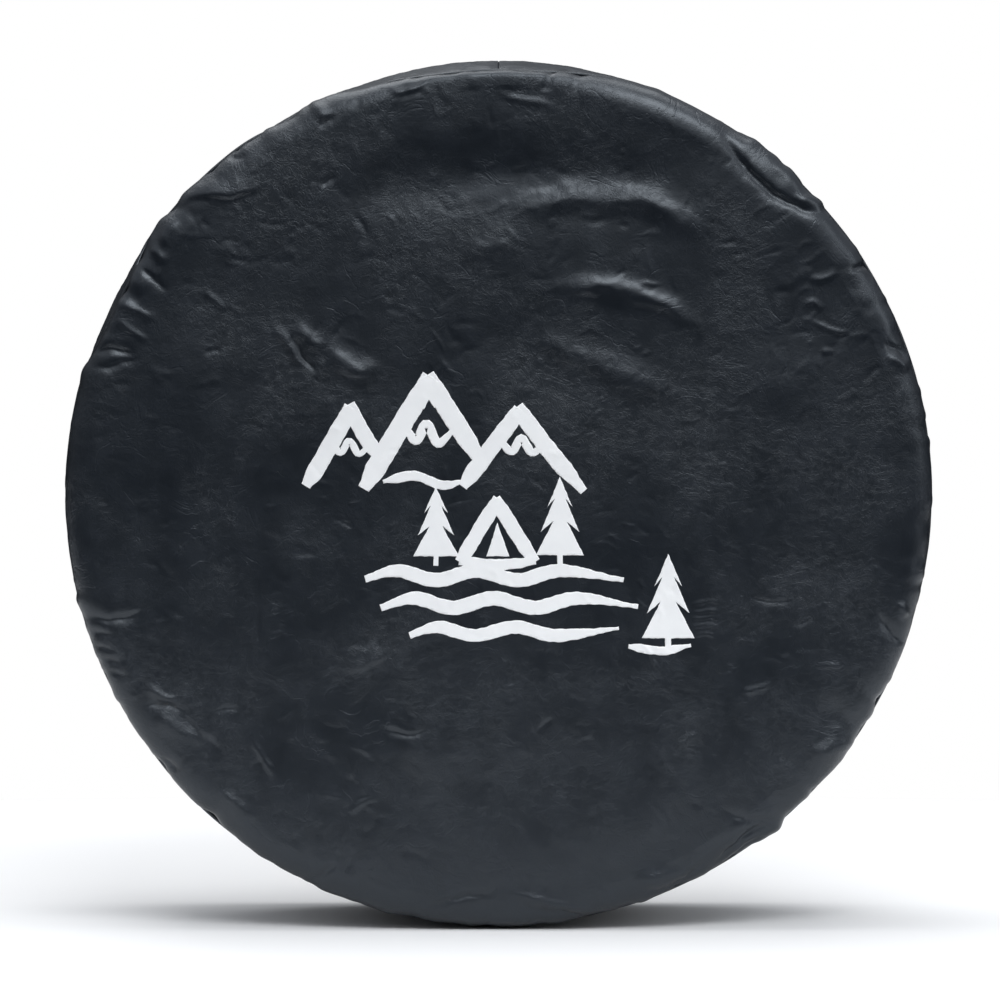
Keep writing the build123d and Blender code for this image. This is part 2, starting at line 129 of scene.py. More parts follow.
def noise(x, y, seed=0):
    """Smooth gradient noise on a plane, about -1 to 1."""
    x, y = np.broadcast_arrays(np.asarray(x, float), np.asarray(y, float))
    ix, iy = np.floor(x).astype(np.int64), np.floor(y).astype(np.int64)
    fx, fy = x - ix, y - iy

    def corner(dx, dy):
        h = ((ix + dx) * 374761393 + (iy + dy) * 668265263 + seed * 1442695041) & 0x7FFFFFFF
        h = ((h ^ (h >> 13)) * 1274126177) & 0x7FFFFFFF
        a = (h ^ (h >> 16)) * (2 * math.pi / 0x7FFFFFFF)
        return np.cos(a) * (fx - dx) + np.sin(a) * (fy - dy)

    u = fx**3 * (fx * (fx * 6 - 15) + 10)
    v = fy**3 * (fy * (fy * 6 - 15) + 10)
    low = corner(0, 0) * (1 - u) + corner(1, 0) * u
    high = corner(0, 1) * (1 - u) + corner(1, 1) * u
    return 1.5 * (low * (1 - v) + high * v)


# ---------------------------------------------------------------- mesh helpers
def mesh_object(name, points, faces, material):
    """A smooth-shaded mesh object from its points and faces, in the part's frame."""
    mesh = bpy.data.meshes.new(name)
    if isinstance(faces, np.ndarray):
        count, sides = faces.shape
        mesh.vertices.add(len(points))
        mesh.vertices.foreach_set("co", np.asarray(points, np.float32).ravel())
        mesh.loops.add(count * sides)
        mesh.loops.foreach_set("vertex_index", faces.astype(np.int32).ravel())
        mesh.polygons.add(count)
        mesh.polygons.foreach_set("loop_start", np.arange(0, count * sides, sides, dtype=np.int32))
        mesh.update(calc_edges=True)
    else:
        mesh.from_pydata([tuple(p) for p in points], [], faces)
        mesh.update()
    mesh.polygons.foreach_set("use_smooth", np.full(len(mesh.polygons), True))
    obj = bpy.data.objects.new(name, mesh)
    bpy.context.scene.collection.objects.link(obj)
    for m in material if isinstance(material, (list, tuple)) else [material]:
        mesh.materials.append(m)
    return obj


def grid_faces(rows, columns, wrap_rows=False, wrap_columns=False):
    """Quads of a grid of points stored row by row."""
    r = np.arange(rows if wrap_rows else rows - 1)
    c = np.arange(columns if wrap_columns else columns - 1)
    r, c = np.meshgrid(r, c, indexing="ij")
    r2, c2 = (r + 1) % rows, (c + 1) % columns
    quads = np.stack([r * columns + c, r * columns + c2, r2 * columns + c2, r2 * columns + c], axis=-1)
    return quads.reshape(-1, 4)


def capped_tube(rows, columns):
    """Faces of a closed tube, as lists: its sides and its two ends."""
    sides = [list(map(int, face)) for face in grid_faces(rows, columns, wrap_columns=True)]
    last = (rows - 1) * columns
    return sides + [list(range(columns))[::-1], [last + i for i in range(columns)]]


def recalculated(obj):
    """Turns every face outward."""
    b = bmesh.new()
    b.from_mesh(obj.data)
    bmesh.ops.recalc_face_normals(b, faces=b.faces)
    b.to_mesh(obj.data)
    b.free()


def on_cover(obj, node):
    """The piece rides on the cover's body and stands for a CAD node."""
    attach(obj, "cover")
    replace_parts(obj, node)
    return obj


def thicken(obj, thickness, backing=None):
    """Gives a sheet its thickness on the inner side."""
    solid = obj.modifiers.new("thickness", "SOLIDIFY")
    solid.thickness = thickness
    solid.offset = -1
    solid.use_even_offset = False
    if backing:
        solid.material_offset = 1


def ring_tube(name, section, count, material):
    """A closed ring whose cross-section, (r, y) for each angle, comes from a function."""
    theta = np.linspace(0, 2 * math.pi, count, endpoint=False)
    r, y = section(theta)
    points = around(r, y, theta[:, None])
    faces = grid_faces(count, r.shape[1], wrap_rows=True, wrap_columns=True)
    return mesh_object(name, points.reshape(-1, 3), faces, material)


THREAD_RADIUS = 0.34 * MM


def stitches(name, points, normals, material, length=3.0 * MM):
    """A row of separate stitches, one at each point, lying along the row and sunk at their ends."""
    points, normals = np.asarray(points), np.asarray(normals)
    along = np.gradient(points, axis=0)
    along /= np.linalg.norm(along, axis=1, keepdims=True)
    side = np.cross(along, normals)
    side /= np.linalg.norm(side, axis=1, keepdims=True)
    up = np.cross(side, along)
    stations = np.array([-0.5, -0.36, -0.12, 0.12, 0.36, 0.5])
    width = THREAD_RADIUS * np.array([0.35, 0.85, 1.0, 1.0, 0.85, 0.35])
    lift = THREAD_RADIUS * np.array([-0.9, -0.1, 0.45, 0.45, -0.1, -0.9])
    turn = np.linspace(0, 2 * math.pi, 6, endpoint=False)
    ring = (
        points[:, None, None, :]
        + along[:, None, None, :] * (stations * length)[None, :, None, None]
        + up[:, None, None, :] * lift[None, :, None, None]
        + side[:, None, None, :] * (width[:, None] * np.cos(turn))[None, :, :, None]
        + up[:, None, None, :] * (width[:, None] * np.sin(turn))[None, :, :, None]
    )
    count = len(points)
    one = grid_faces(6, 6, wrap_columns=True)
    quads = (one[None] + (np.arange(count) * 36)[:, None, None]).reshape(-1, 4)
    caps = [[int(k * 36 + i) for i in range(5, -1, -1)] for k in range(count)]
    caps += [[int(k * 36 + 30 + i) for i in range(6)] for k in range(count)]
    obj = mesh_object(name, ring.reshape(-1, 3), [list(map(int, q)) for q in quads] + caps, material)
    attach(obj, "cover")
    return obj


def line_length(line):
    return np.cumsum(np.linalg.norm(np.diff(line, axis=0), axis=1))[-1]


def spaced(points, pitch):
    """Points at an even pitch along a polyline."""
    return resampled(points, np.arange(pitch / 2, line_length(points), pitch))


# ---------------------------------------------------------------- materials
def new_material(name):
    m = bpy.data.materials.new(name)
    m.use_nodes = True
    tree = m.node_tree
    shader = tree.nodes["Principled BSDF"]
    place = tree.nodes.new("ShaderNodeTexCoord").outputs["Object"]
    return m, tree, shader, place


def add(tree, kind, inputs=None, **settings):
    """A node with its settings and its inputs: numbers are set, sockets are linked."""
    n = tree.nodes.new(kind)
    for key, value in settings.items():
        setattr(n, key, value)
    for key, value in (inputs or {}).items():
        if isinstance(value, bpy.types.NodeSocket):
            tree.links.new(value, n.inputs[key])
        else:
            n.inputs[key].default_value = value
    return n


def ramp(tree, source, low, high, out_low=0.0, out_high=1.0):
    """Maps a number from one range to another, held inside it."""
    inputs = {"Value": source, "From Min": low, "From Max": high, "To Min": out_low, "To Max": out_high}
    return add(tree, "ShaderNodeMapRange", inputs, clamp=True).outputs["Result"]


def math_node(tree, operation, a, b=0.0):
    n = add(tree, "ShaderNodeMath", operation=operation)
    for socket, value in zip(n.inputs, (a, b)):
        if isinstance(value, bpy.types.NodeSocket):
            tree.links.new(value, socket)
        else:
            socket.default_value = value
    return n.outputs[0]


def noise_node(tree, place, scale, detail=2.0, roughness=0.5, distortion=0.0):
    inputs = {"Vector": place, "Scale": scale, "Detail": detail}
    inputs |= {"Roughness": roughness, "Distortion": distortion}
    return add(tree, "ShaderNodeTexNoise", inputs).outputs["Fac"]


def cell_node(tree, place, scale):
    """Rounded cells, each rising from its middle."""
    cells = add(tree, "ShaderNodeTexVoronoi", {"Vector": place, "Scale": scale}, feature="F1")
    return cells.outputs["Distance"]


def colour_mix(tree, factor, low, high):
    n = add(tree, "ShaderNodeMix", data_type="RGBA")
    tree.links.new(factor, n.inputs["Factor"])
    colours = [s for s in n.inputs if s.type == "RGBA"]
    colours[0].default_value, colours[1].default_value = (*low, 1), (*high, 1)
    return [s for s in n.outputs if s.type == "RGBA"][0]


def bump_node(tree, height, distance, strength=1.0, normal=None):
    inputs = {"Height": height, "Distance": distance, "Strength": strength}
    if normal is not None:
        inputs["Normal"] = normal
    return add(tree, "ShaderNodeBump", inputs).outputs["Normal"]


def finish_material(tree, shader, colour=None, roughness=None, normal=None):
    for name, value in (("Base Color", colour), ("Roughness", roughness), ("Normal", normal)):
        if value is not None:
            tree.links.new(value, shader.inputs[name])


VINYL_GRAIN = 760.0       # pebbles of the leatherette, per metre


def vinyl_material(name, dark, light, rough):
    """Soft leatherette: pebbled grain, fine crinkles in patches, and an uneven low sheen."""
    m, tree, shader, place = new_material(name)
    patches = noise_node(tree, place, 9.0, 3.0, 0.55, 0.4)
    cloud = noise_node(tree, place, 34.0, 4.0, 0.6)
    grain = cell_node(tree, place, VINYL_GRAIN)
    wander = noise_node(tree, place, 115.0, 5.0, 0.62, 1.6)
    ridge = math_node(tree, "ABSOLUTE", math_node(tree, "SUBTRACT", wander, 0.5))
    crinkle = ramp(tree, ridge, 0.0, 0.09)
    where = ramp(tree, patches, 0.40, 0.62, 0.10, 1.0)
    crinkle = math_node(tree, "MULTIPLY", crinkle, where)
    fine = noise_node(tree, place, 420.0, 3.0, 0.6, 0.6)
    bent = noise_node(tree, place, 21.0, 4.0, 0.58, 1.1)
    crease = ramp(tree, math_node(tree, "ABSOLUTE", math_node(tree, "SUBTRACT", bent, 0.5)), 0.0, 0.030)
    crease = math_node(tree, "MULTIPLY", crease, ramp(tree, cloud, 0.44, 0.64, 0.0, 1.0))
    normal = bump_node(tree, grain, 0.05 * MM, 0.35)
    normal = bump_node(tree, fine, 0.12 * MM, 0.45, normal)
    normal = bump_node(tree, crinkle, 0.26 * MM, 0.50, normal)
    normal = bump_node(tree, crease, 0.42 * MM, 0.42, normal)
    colour = colour_mix(tree, ramp(tree, cloud, 0.3, 0.7), dark, light)
    broad, small = math_node(tree, "MULTIPLY", patches, 0.6), math_node(tree, "MULTIPLY", cloud, 0.4)
    mixed = math_node(tree, "ADD", broad, small)
    roughness = ramp(tree, mixed, 0.36, 0.64, rough[0], rough[1])
    shader.inputs["Specular IOR Level"].default_value = 0.62
    shader.inputs["Specular Tint"].default_value = (0.86, 0.93, 1.0, 1)
    finish_material(tree, shader, colour, roughness, normal)
    return m


def knit_material(name, dark, light):
    """The knit backing on the inner side of the leatherette."""
    m, tree, shader, place = new_material(name)
    rows = cell_node(tree, place, 620.0)
    cloud = noise_node(tree, place, 60.0, 4.0, 0.6)
    normal = bump_node(tree, rows, 0.3 * MM, 0.6)
    colour = colour_mix(tree, ramp(tree, cloud, 0.3, 0.7), dark, light)
    shader.inputs["Roughness"].default_value = 0.95
    shader.inputs["Specular IOR Level"].default_value = 0.2
    finish_material(tree, shader, colour, None, normal)
    return m


def woven_material(name, dark, light, pitch, along=(1, 0, 0), across=(0, 0, 1)):
    """Woven webbing or tape: ribs along its length, crossed by the weft in a herringbone."""
    m, tree, shader, place = new_material(name)
    u = add(tree, "ShaderNodeVectorMath", {0: place, 1: along}, operation="DOT_PRODUCT").outputs["Value"]
    v = add(tree, "ShaderNodeVectorMath", {0: place, 1: across}, operation="DOT_PRODUCT").outputs["Value"]
    folded = math_node(tree, "PINGPONG", v, pitch * 2.0)
    slant = math_node(tree, "ADD", u, folded)
    weft = math_node(tree, "SINE", math_node(tree, "MULTIPLY", slant, 2 * math.pi / pitch))
    rib = math_node(tree, "SINE", math_node(tree, "MULTIPLY", v, math.pi / pitch))
    height = math_node(tree, "ADD", weft, math_node(tree, "ABSOLUTE", rib))
    fuzz = noise_node(tree, place, 900.0, 3.0, 0.7)
    normal = bump_node(tree, ramp(tree, height, -1.0, 2.0), 0.35 * MM, 0.8)
    normal = bump_node(tree, fuzz, 0.1 * MM, 0.5, normal)
    colour = colour_mix(tree, ramp(tree, height, -1.0, 2.0), dark, light)
    shader.inputs["Roughness"].default_value = 0.82
    shader.inputs["Sheen Weight"].default_value = 0.15
    finish_material(tree, shader, colour, None, normal)
    return m


def thread_material(name, dark, light):
    m, tree, shader, place = new_material(name)
    twist = noise_node(tree, place, 1500.0, 2.0, 0.5)
    colour = colour_mix(tree, twist, dark, light)
    shader.inputs["Roughness"].default_value = 0.55
    finish_material(tree, shader, colour, None, bump_node(tree, twist, 0.08 * MM, 0.6))
    return m


def plastic_material(name, dark, light):
    """Moulded plastic: fine spark-eroded grain and faint handling marks."""
    m, tree, shader, place = new_material(name)
    grain = noise_node(tree, place, 1400.0, 3.0, 0.65)
    marks = noise_node(tree, place, 120.0, 5.0, 0.7, 0.8)
    colour = colour_mix(tree, ramp(tree, marks, 0.35, 0.7), dark, light)
    roughness = ramp(tree, marks, 0.3, 0.7, 0.26, 0.42)
    finish_material(tree, shader, colour, roughness, bump_node(tree, grain, 0.04 * MM, 0.5))
    return m


def metal_material(name, dark, light):
    """Plated steel: brushed, slightly dulled."""
    m, tree, shader, place = new_material(name)
    dull = noise_node(tree, place, 260.0, 4.0, 0.6, 0.5)
    fine = noise_node(tree, place, 2600.0, 2.0, 0.5)
    colour = colour_mix(tree, dull, dark, light)
    roughness = ramp(tree, dull, 0.3, 0.7, 0.24, 0.42)
    shader.inputs["Metallic"].default_value = 1.0
    finish_material(tree, shader, colour, roughness, bump_node(tree, fine, 0.02 * MM, 0.4))
    return m


def ink_material(name, dark, light):
    """White print: flat ink with the leatherette's grain coming through."""
    m, tree, shader, place = new_material(name)
    cloud = noise_node(tree, place, 45.0, 4.0, 0.6)
    grain = cell_node(tree, place, VINYL_GRAIN)
    colour = colour_mix(tree, ramp(tree, cloud, 0.3, 0.7), dark, light)
    shader.inputs["Roughness"].default_value = 0.5
    finish_material(tree, shader, colour, None, bump_node(tree, grain, 0.05 * MM, 0.4))
    return m


VINYL_MAT = vinyl_material("vinyl_black", (0.0046, 0.0068, 0.0102), (0.0074, 0.0102, 0.0150), (0.30, 0.42))
PIPING_MAT = vinyl_material("vinyl_piping", (0.0040, 0.0052, 0.0074), (0.0066, 0.0082, 0.0112), (0.28, 0.42))
KNIT_MAT = knit_material("knit_backing", (0.055, 0.056, 0.060), (0.085, 0.086, 0.090))
TAPE_MAT = woven_material("binding_tape", (0.010, 0.010, 0.011), (0.028, 0.028, 0.030), 1.1 * MM,
                          (0, 1, 0), (0, 0, 1))
WEB_MAT = woven_material("webbing", (0.014, 0.014, 0.015), (0.048, 0.048, 0.052), 1.8 * MM)
THREAD_MAT = thread_material("thread", (0.012, 0.012, 0.014), (0.035, 0.036, 0.040))
PLASTIC_MAT = plastic_material("buckle_plastic", (0.007, 0.007, 0.008), (0.014, 0.014, 0.015))
METAL_MAT = metal_material("eyelet_metal", (0.42, 0.42, 0.43), (0.60, 0.60, 0.61))
ELASTIC_MAT = woven_material("elastic", (0.50, 0.49, 0.46), (0.68, 0.67, 0.64), 1.2 * MM)
CORE_MAT = thread_material("cord_core", (0.45, 0.44, 0.40), (0.60, 0.59, 0.55))
INK_MAT = ink_material("white_ink", (0.90, 0.91, 0.92), (0.94, 0.95, 0.955))


# ---------------------------------------------------------------- the shell's shape
def outline(angle):
    """How far the cover's edge lies inside or outside a true circle: two flat places, upper left."""
    flat = -2.2 * near(angle, 103.5, 4.5) - 4.2 * near(angle, 108.6, 2.3) - 3.8 * near(angle, 119.8, 2.6)
    t = np.radians(angle)
    return MM * (flat + 0.45 * noise(np.cos(t) * 6, np.sin(t) * 6, 5))


def pulled_in(angle):
    """1 where the front seam is pulled round onto the front, 0 where it hides behind the edge."""
    top = smooth((20.5 - np.abs(turn_from(angle, 91.0))) / 17.0)
    left = 0.80 * smooth((10.5 - np.abs(turn_from(angle, 154.0))) / 7.0)
    return np.clip(np.maximum(top, left), 0, 1)


def front_seam(angle):
    """(radius, y) of the seam between the front and the tread band."""
    p = pulled_in(angle)
    return 0.3598 - 0.0068 * p + outline(angle), -0.0850 - 0.0125 * p


def band_radius(angle, y):
    """The tread band without its wrinkles. It starts at the front seam."""
    barrel = BAND_RADIUS - BAND_BARREL * (y / BAND_HALF) ** 2
    seam_r, seam_y = front_seam(angle)
    start = BAND_RADIUS - BAND_BARREL * (seam_y / BAND_HALF) ** 2
    from_seam = np.exp(-np.clip(y - seam_y, 0, None) / 0.016)
    return barrel + (seam_r - start) * from_seam + outline(angle) * (1 - from_seam) * smooth((0.05 - y) / 0.1)


def curve_points(points, per_span=7):
    """A smooth polyline through a few points."""
    p = np.asarray(points, float)
    if len(p) == 2:
        return np.linspace(p[0], p[1], 8)
    q = np.vstack([2 * p[0] - p[1], p, 2 * p[-1] - p[-2]])
    out = []
    for i in range(1, len(q) - 2):
        t = np.linspace(0, 1, per_span, endpoint=False)[:, None]
        a, b, c, d = q[i - 1], q[i], q[i + 1], q[i + 2]
        square, cube = 2 * a - 5 * b + 4 * c - d, 3 * b - a - 3 * c + d
        out.append(0.5 * (2 * b + (c - a) * t + square * t**2 + cube * t**3))
    out.append(p[-1:])
    return np.vstack(out)


def add_wrinkle(height, x, z, kind, width, size, points, per_span=7):
    """Adds one fold, crease or tuck to a height field. Lengths are in metres.

    A fold is a soft ridge or hollow, a crease has a sharp bottom, and a tuck is a step with its
    high side on the left of the way its points run."""
    line = curve_points(points, per_span)
    reach = width * (5.0 if kind == "tuck" else 3.2)
    low, high = line.min(axis=0) - reach, line.max(axis=0) + reach
    inside = np.flatnonzero((x > low[0]) & (x < high[0]) & (z > low[1]) & (z < high[1]))
    if not len(inside):
        return
    px, pz = x[inside], z[inside]
    best = np.full(len(inside), 1e9)
    signed, along = np.zeros(len(inside)), np.zeros(len(inside))
    steps = np.linalg.norm(np.diff(line, axis=0), axis=1)
    run = np.concatenate([[0], np.cumsum(steps)])
    for a, b, length, start in zip(line[:-1], line[1:], steps, run):
        dx, dz = (b - a) / max(length, 1e-9)
        s = np.clip((px - a[0]) * dx + (pz - a[1]) * dz, 0, length)
        ex, ez = px - a[0] - s * dx, pz - a[1] - s * dz
        d = np.hypot(ex, ez)
        closer = d < best
        best = np.where(closer, d, best)
        signed = np.where(closer, np.sign(dx * ez - dz * ex) * d, signed)
        along = np.where(closer, (start + s) / run[-1], along)
    ends = smooth(along / 0.35) * smooth((1 - along) / 0.35)
    if kind == "fold":
        shape = np.exp(-((best / width) ** 2))
    elif kind == "crease":
        soft = 0.28 * width
        shape = np.exp(-(np.sqrt(best**2 + soft**2) - soft) / (0.62 * width))
        shape = shape * smooth((reach - best) / (0.5 * reach))
    else:
        step = 0.5 * (1 + np.tanh(signed / (0.4 * width)))
        shape = step * np.exp(-((np.clip(signed, 0, None) / (3.6 * width)) ** 2))
        shape = shape * smooth((reach - best) / (0.5 * reach))
    height[inside] += size * shape * ends


# Wrinkles of the front: kind, width, height, then points (x, z). All in millimetres.
WRINKLES = [
    # broad swells of the flat front
    ("fold", 30, -3.6, [(-166, 240), (-124, 255), (-57, 263), (1, 268), (85, 265), (168, 268), (198, 253)]),
    ("fold", 12, 3.2, [(5, 221), (26, 240), (64, 249), (102, 247), (133, 240), (158, 224), (178, 204)]),
    ("fold", 9, 2.6, [(35, 164), (58, 173), (92, 173), (125, 163), (155, 148), (175, 133)]),
    ("fold", 12, 2.2, [(18, 146), (51, 126), (85, 107), (122, 94), (160, 82)]),
    ("fold", 15, 1.6, [(-36, 193), (-7, 206), (18, 218)]),
    ("fold", 38, -2.2, [(-24, 153), (35, 119), (76, 61)]),
    ("fold", 45, 2.0, [(219, 136), (252, 61), (244, -23)]),
    ("fold", 40, 1.8, [(-241, 161), (-250, 77), (-237, -6)]),
    ("fold", 34, -1.8, [(-141, 77), (-166, 10), (-158, -56)]),
    ("fold", 26, 1.8, [(-82, -232), (-49, -205), (-11, -195)]),
    ("fold", 30, -2.0, [(76, -190), (35, -232), (-32, -257)]),
    ("fold", 34, 1.7, [(51, -299), (127, -257), (168, -190)]),
    # folds and creases in the upper left
    ("tuck", 4, 2.2, [(-275, 233), (-263, 241), (-245, 247), (-216, 248), (-187, 258)]),
    ("fold", 5, 1.8, [(-280, 205), (-274, 221), (-265, 234)]),
    ("fold", 4, 1.5, [(-292, 209), (-284, 205), (-274, 193)]),
    ("crease", 3, -1.5, [(-224, 281), (-216, 279), (-207, 282)]),
    ("fold", 5, 2.0, [(-157, 326), (-148, 321), (-140, 311)]),
    ("crease", 3, -1.6, [(-148, 305), (-141, 312), (-134, 318)]),
    ("crease", 3, -1.5, [(-148, 258), (-140, 263), (-132, 266)]),
    ("crease", 2, -0.7, [(-203, 230), (-188, 226), (-173, 225)]),
    ("crease", 2, -0.6, [(-231, 209), (-220, 212), (-209, 212)]),
    ("fold", 4, 1.5, [(-191, 146), (-173, 126), (-157, 102)]),
    ("crease", 4, -2.0, [(-174, 136), (-161, 116), (-151, 97)]),
    ("fold", 7, 1.7, [(-171, 143), (-158, 132), (-143, 120)]),
    ("fold", 9, 2.6, [(-148, 119), (-124, 110), (-97, 97)]),
    ("crease", 3, -1.5, [(-301, 195), (-290, 183), (-274, 168)]),
    ("fold", 4, 1.1, [(-323, 163), (-305, 157), (-281, 144)]),
    ("fold", 3, 0.9, [(-318, 146), (-306, 139), (-291, 129)]),
    ("crease", 4, -2.2, [(-340, 117), (-323, 120), (-298, 117)]),
    ("crease", 3, -1.5, [(-340, 107), (-318, 109), (-295, 113)]),
    ("fold", 2.5, 0.8, [(-245, 172), (-235, 163), (-225, 153)]),
    ("crease", 2.5, -0.8, [(-245, 119), (-239, 120), (-229, 122)]),
    ("fold", 3, 1.0, [(-94, 342), (-83, 335), (-70, 337), (-57, 346)]),
    ("fold", 3, 0.9, [(-5, 336), (11, 331), (36, 325), (51, 321)]),
    ("crease", 2.5, -0.8, [(-120, 238), (-114, 226), (-109, 211)]),
    # folds and creases in the upper right
    ("crease", 6, -3.6, [(178, 312), (187, 298), (196, 285), (209, 268), (225, 253), (247, 242), (279, 231)]),
    ("fold", 6, 2.8, [(200, 305), (220, 288), (240, 268), (259, 250)]),
    ("fold", 5, 2.0, [(245, 248), (262, 245), (274, 240)]),
    ("crease", 3, -2.2, [(289, 188), (299, 191), (310, 194)]),
    ("crease", 4, -2.2, [(319, 129), (330, 122), (342, 113)]),
    ("fold", 4, 1.6, [(322, 117), (332, 112), (340, 101)]),
    ("fold", 2.5, 0.9, [(250, 158), (259, 161), (266, 154)]),
    ("fold", 2.5, 0.8, [(250, 149), (265, 143), (279, 137), (302, 131)]),
    ("fold", 2.5, 0.7, [(267, 117), (280, 119)]),
    ("crease", 2, -0.6, [(185, 208), (202, 214)]),
    ("crease", 2, -0.6, [(193, 198), (207, 204)]),
    ("crease", 2, -0.6, [(208, 195), (219, 202)]),
    ("fold", 2, 0.6, [(115, 177), (137, 176)]),
    ("fold", 3, 0.9, [(256, 178), (270, 181), (284, 188)]),
    # folds and creases in the lower left
    ("crease", 4.5, -2.6, [(-345, -100), (-326, -105), (-306, -101), (-291, -93)]),
    ("crease", 3, -1.7, [(-342, -112), (-331, -114), (-320, -117)]),
    ("crease", 3, -1.6, [(-337, -124), (-326, -126), (-316, -130)]),
    ("crease", 3, -1.5, [(-332, -136), (-323, -138), (-313, -143)]),
    ("crease", 3, -1.3, [(-326, -148), (-318, -151), (-310, -158)]),
    ("fold", 4, 2.1, [(-299, -158), (-283, -167), (-265, -173)]),
    ("crease", 3, -2.2, [(-301, -176), (-279, -174), (-254, -179)]),
    ("tuck", 5, -2.4, [(-228, -211), (-245, -198), (-256, -184), (-261, -173)]),
    ("fold", 9, 2.6, [(-293, -181), (-273, -190), (-252, -200), (-236, -207)]),
    ("crease", 5, -2.2, [(-283, -219), (-275, -226), (-266, -230)]),
    ("fold", 8, 1.7, [(-232, -243), (-219, -258), (-206, -279)]),
    ("fold", 3, 1.0, [(-208, -197), (-198, -216), (-184, -241)]),
    ("crease", 6, -2.2, [(-163, -318), (-149, -317), (-134, -307)]),
    ("crease", 2.5, -1.0, [(-118, -317), (-117, -338)]),
    ("crease", 3.5, -1.8, [(-66, -342), (-39, -336), (-4, -331)]),
    ("tuck", 5, 1.8, [(-134, -150), (-116, -143), (-96, -136), (-86, -127)]),
    ("crease", 3.5, -1.3, [(-101, -194), (-82, -199), (-69, -198), (-57, -187)]),
    ("crease", 3, -1.0, [(-239, -178), (-228, -178), (-216, -179)]),
    ("crease", 2.5, -0.8, [(-202, -88), (-200, -107), (-199, -127)]),
    ("fold", 3, 0.8, [(-124, -270), (-114, -255), (-99, -250)]),
    # folds and creases in the lower right
    ("fold", 4, 1.6, [(0, -334), (39, -339), (88, -352)]),
    ("crease", 3.5, -1.2, [(10, -342), (43, -347), (85, -357)]),
    ("fold", 6, 2.2, [(110, -324), (135, -317), (165, -317)]),
    ("crease", 4, -1.8, [(118, -331), (142, -326), (168, -309), (178, -297)]),
    ("crease", 4, -3.0, [(178, -312), (192, -295), (210, -281), (235, -274)]),
    ("crease", 3, -1.8, [(187, -316), (200, -299), (217, -287), (232, -281)]),
    ("fold", 6, 2.5, [(205, -297), (224, -284), (245, -267)]),
    ("crease", 3, -1.5, [(182, -262), (200, -269), (220, -271), (240, -272)]),
    ("fold", 14, -3.0, [(262, -175), (284, -184), (312, -197)]),
    ("fold", 8, 2.6, [(257, -222), (275, -213), (299, -204)]),
    ("crease", 5, -3.0, [(314, -95), (327, -112), (342, -125)]),
    ("fold", 4, 2.2, [(332, -88), (339, -103)]),
    ("fold", 2.5, 0.8, [(264, -143), (277, -142), (290, -143)]),
    ("fold", 3, 0.9, [(200, -165), (216, -160), (234, -158)]),
    ("fold", 1.4, 0.8, [(120, -122), (126, -134), (133, -149)]),
    ("fold", 1.8, 0.55, [(158, -91), (173, -88), (189, -91)]),
    ("fold", 1.8, 0.55, [(160, -97), (173, -96), (185, -98)]),
    ("fold", 1.8, 0.55, [(158, -102), (172, -102), (187, -103)]),
    ("fold", 1.8, 0.55, [(159, -108), (174, -108), (184, -111)]),
    ("fold", 1.8, 0.55, [(160, -115), (172, -114), (182, -117)]),
    ("crease", 3, -1.0, [(206, -83), (223, -90), (240, -87), (252, -85)]),
    ("crease", 3, -0.9, [(245, -108), (255, -103), (262, -97)]),
    ("crease", 2.5, -0.8, [(30, -199), (38, -192), (46, -184)]),
    ("fold", 2.5, 0.8, [(145, -211), (155, -203), (168, -197)]),
]


WRINKLE_WIDTH, WRINKLE_HEIGHT = 0.9, 1.25     # shares of the widths and heights above
SMALL_WRINKLES = 900


def front_height(x, z):
    """How far the front stands proud of its flat plane at points (x, z)."""
    x, z = np.asarray(x, float), np.asarray(z, float)
    r = np.hypot(x, z)
    inner = smooth((0.362 - r) / 0.035)
    height = 0.0040 * (1 - np.clip(r / 0.30, 0, 1) ** 2)
    height += 0.0010 * np.exp(-(((r - 0.300) / 0.026) ** 2))
    height += inner * (0.9 * MM * noise(x / 0.15, z / 0.12, 3) + 0.22 * MM * noise(x / 0.052, z / 0.040, 8))
    height += inner * 0.07 * MM * noise(x / 0.017, z / 0.015, 21)
    wx = x + 0.0035 * noise(x / 0.034, z / 0.034, 31) + 0.0012 * noise(x / 0.011, z / 0.011, 33)
    wz = z + 0.0035 * noise(x / 0.034, z / 0.034, 32) + 0.0012 * noise(x / 0.011, z / 0.011, 34)
    marks = np.zeros_like(height)
    for kind, width, size, points in WRINKLES:
        broad, tall = WRINKLE_WIDTH * width * MM, WRINKLE_HEIGHT * size * MM
        add_wrinkle(marks, wx, wz, kind, broad, tall, np.array(points) * MM)
    pick = np.random.default_rng(7)
    for _ in range(SMALL_WRINKLES):
        radius, turn = 0.345 * pick.random() ** 0.45, pick.random() * 2 * math.pi
        cx, cz = radius * math.cos(turn), radius * math.sin(turn)
        lean = 2.2 * float(noise(cx / 0.09, cz / 0.09, 40)) + pick.normal() * 0.5
        if radius > 0.29:
            lean = turn + pick.normal() * 0.45
        half = pick.uniform(3, 15) * MM
        bend = pick.normal() * 0.25 * half
        dx, dz = math.cos(lean), math.sin(lean)
        middle = (cx - dz * bend, cz + dx * bend)
        line = [(cx - dx * half, cz - dz * half), middle, (cx + dx * half, cz + dz * half)]
        size = pick.choice([-1, 1]) * pick.uniform(0.12, 0.46) * MM
        kind = "crease" if pick.random() < 0.45 else "fold"
        add_wrinkle(marks, wx, wz, kind, pick.uniform(1.6, 3.2) * MM, size, np.array(line), 3)
    return height + marks


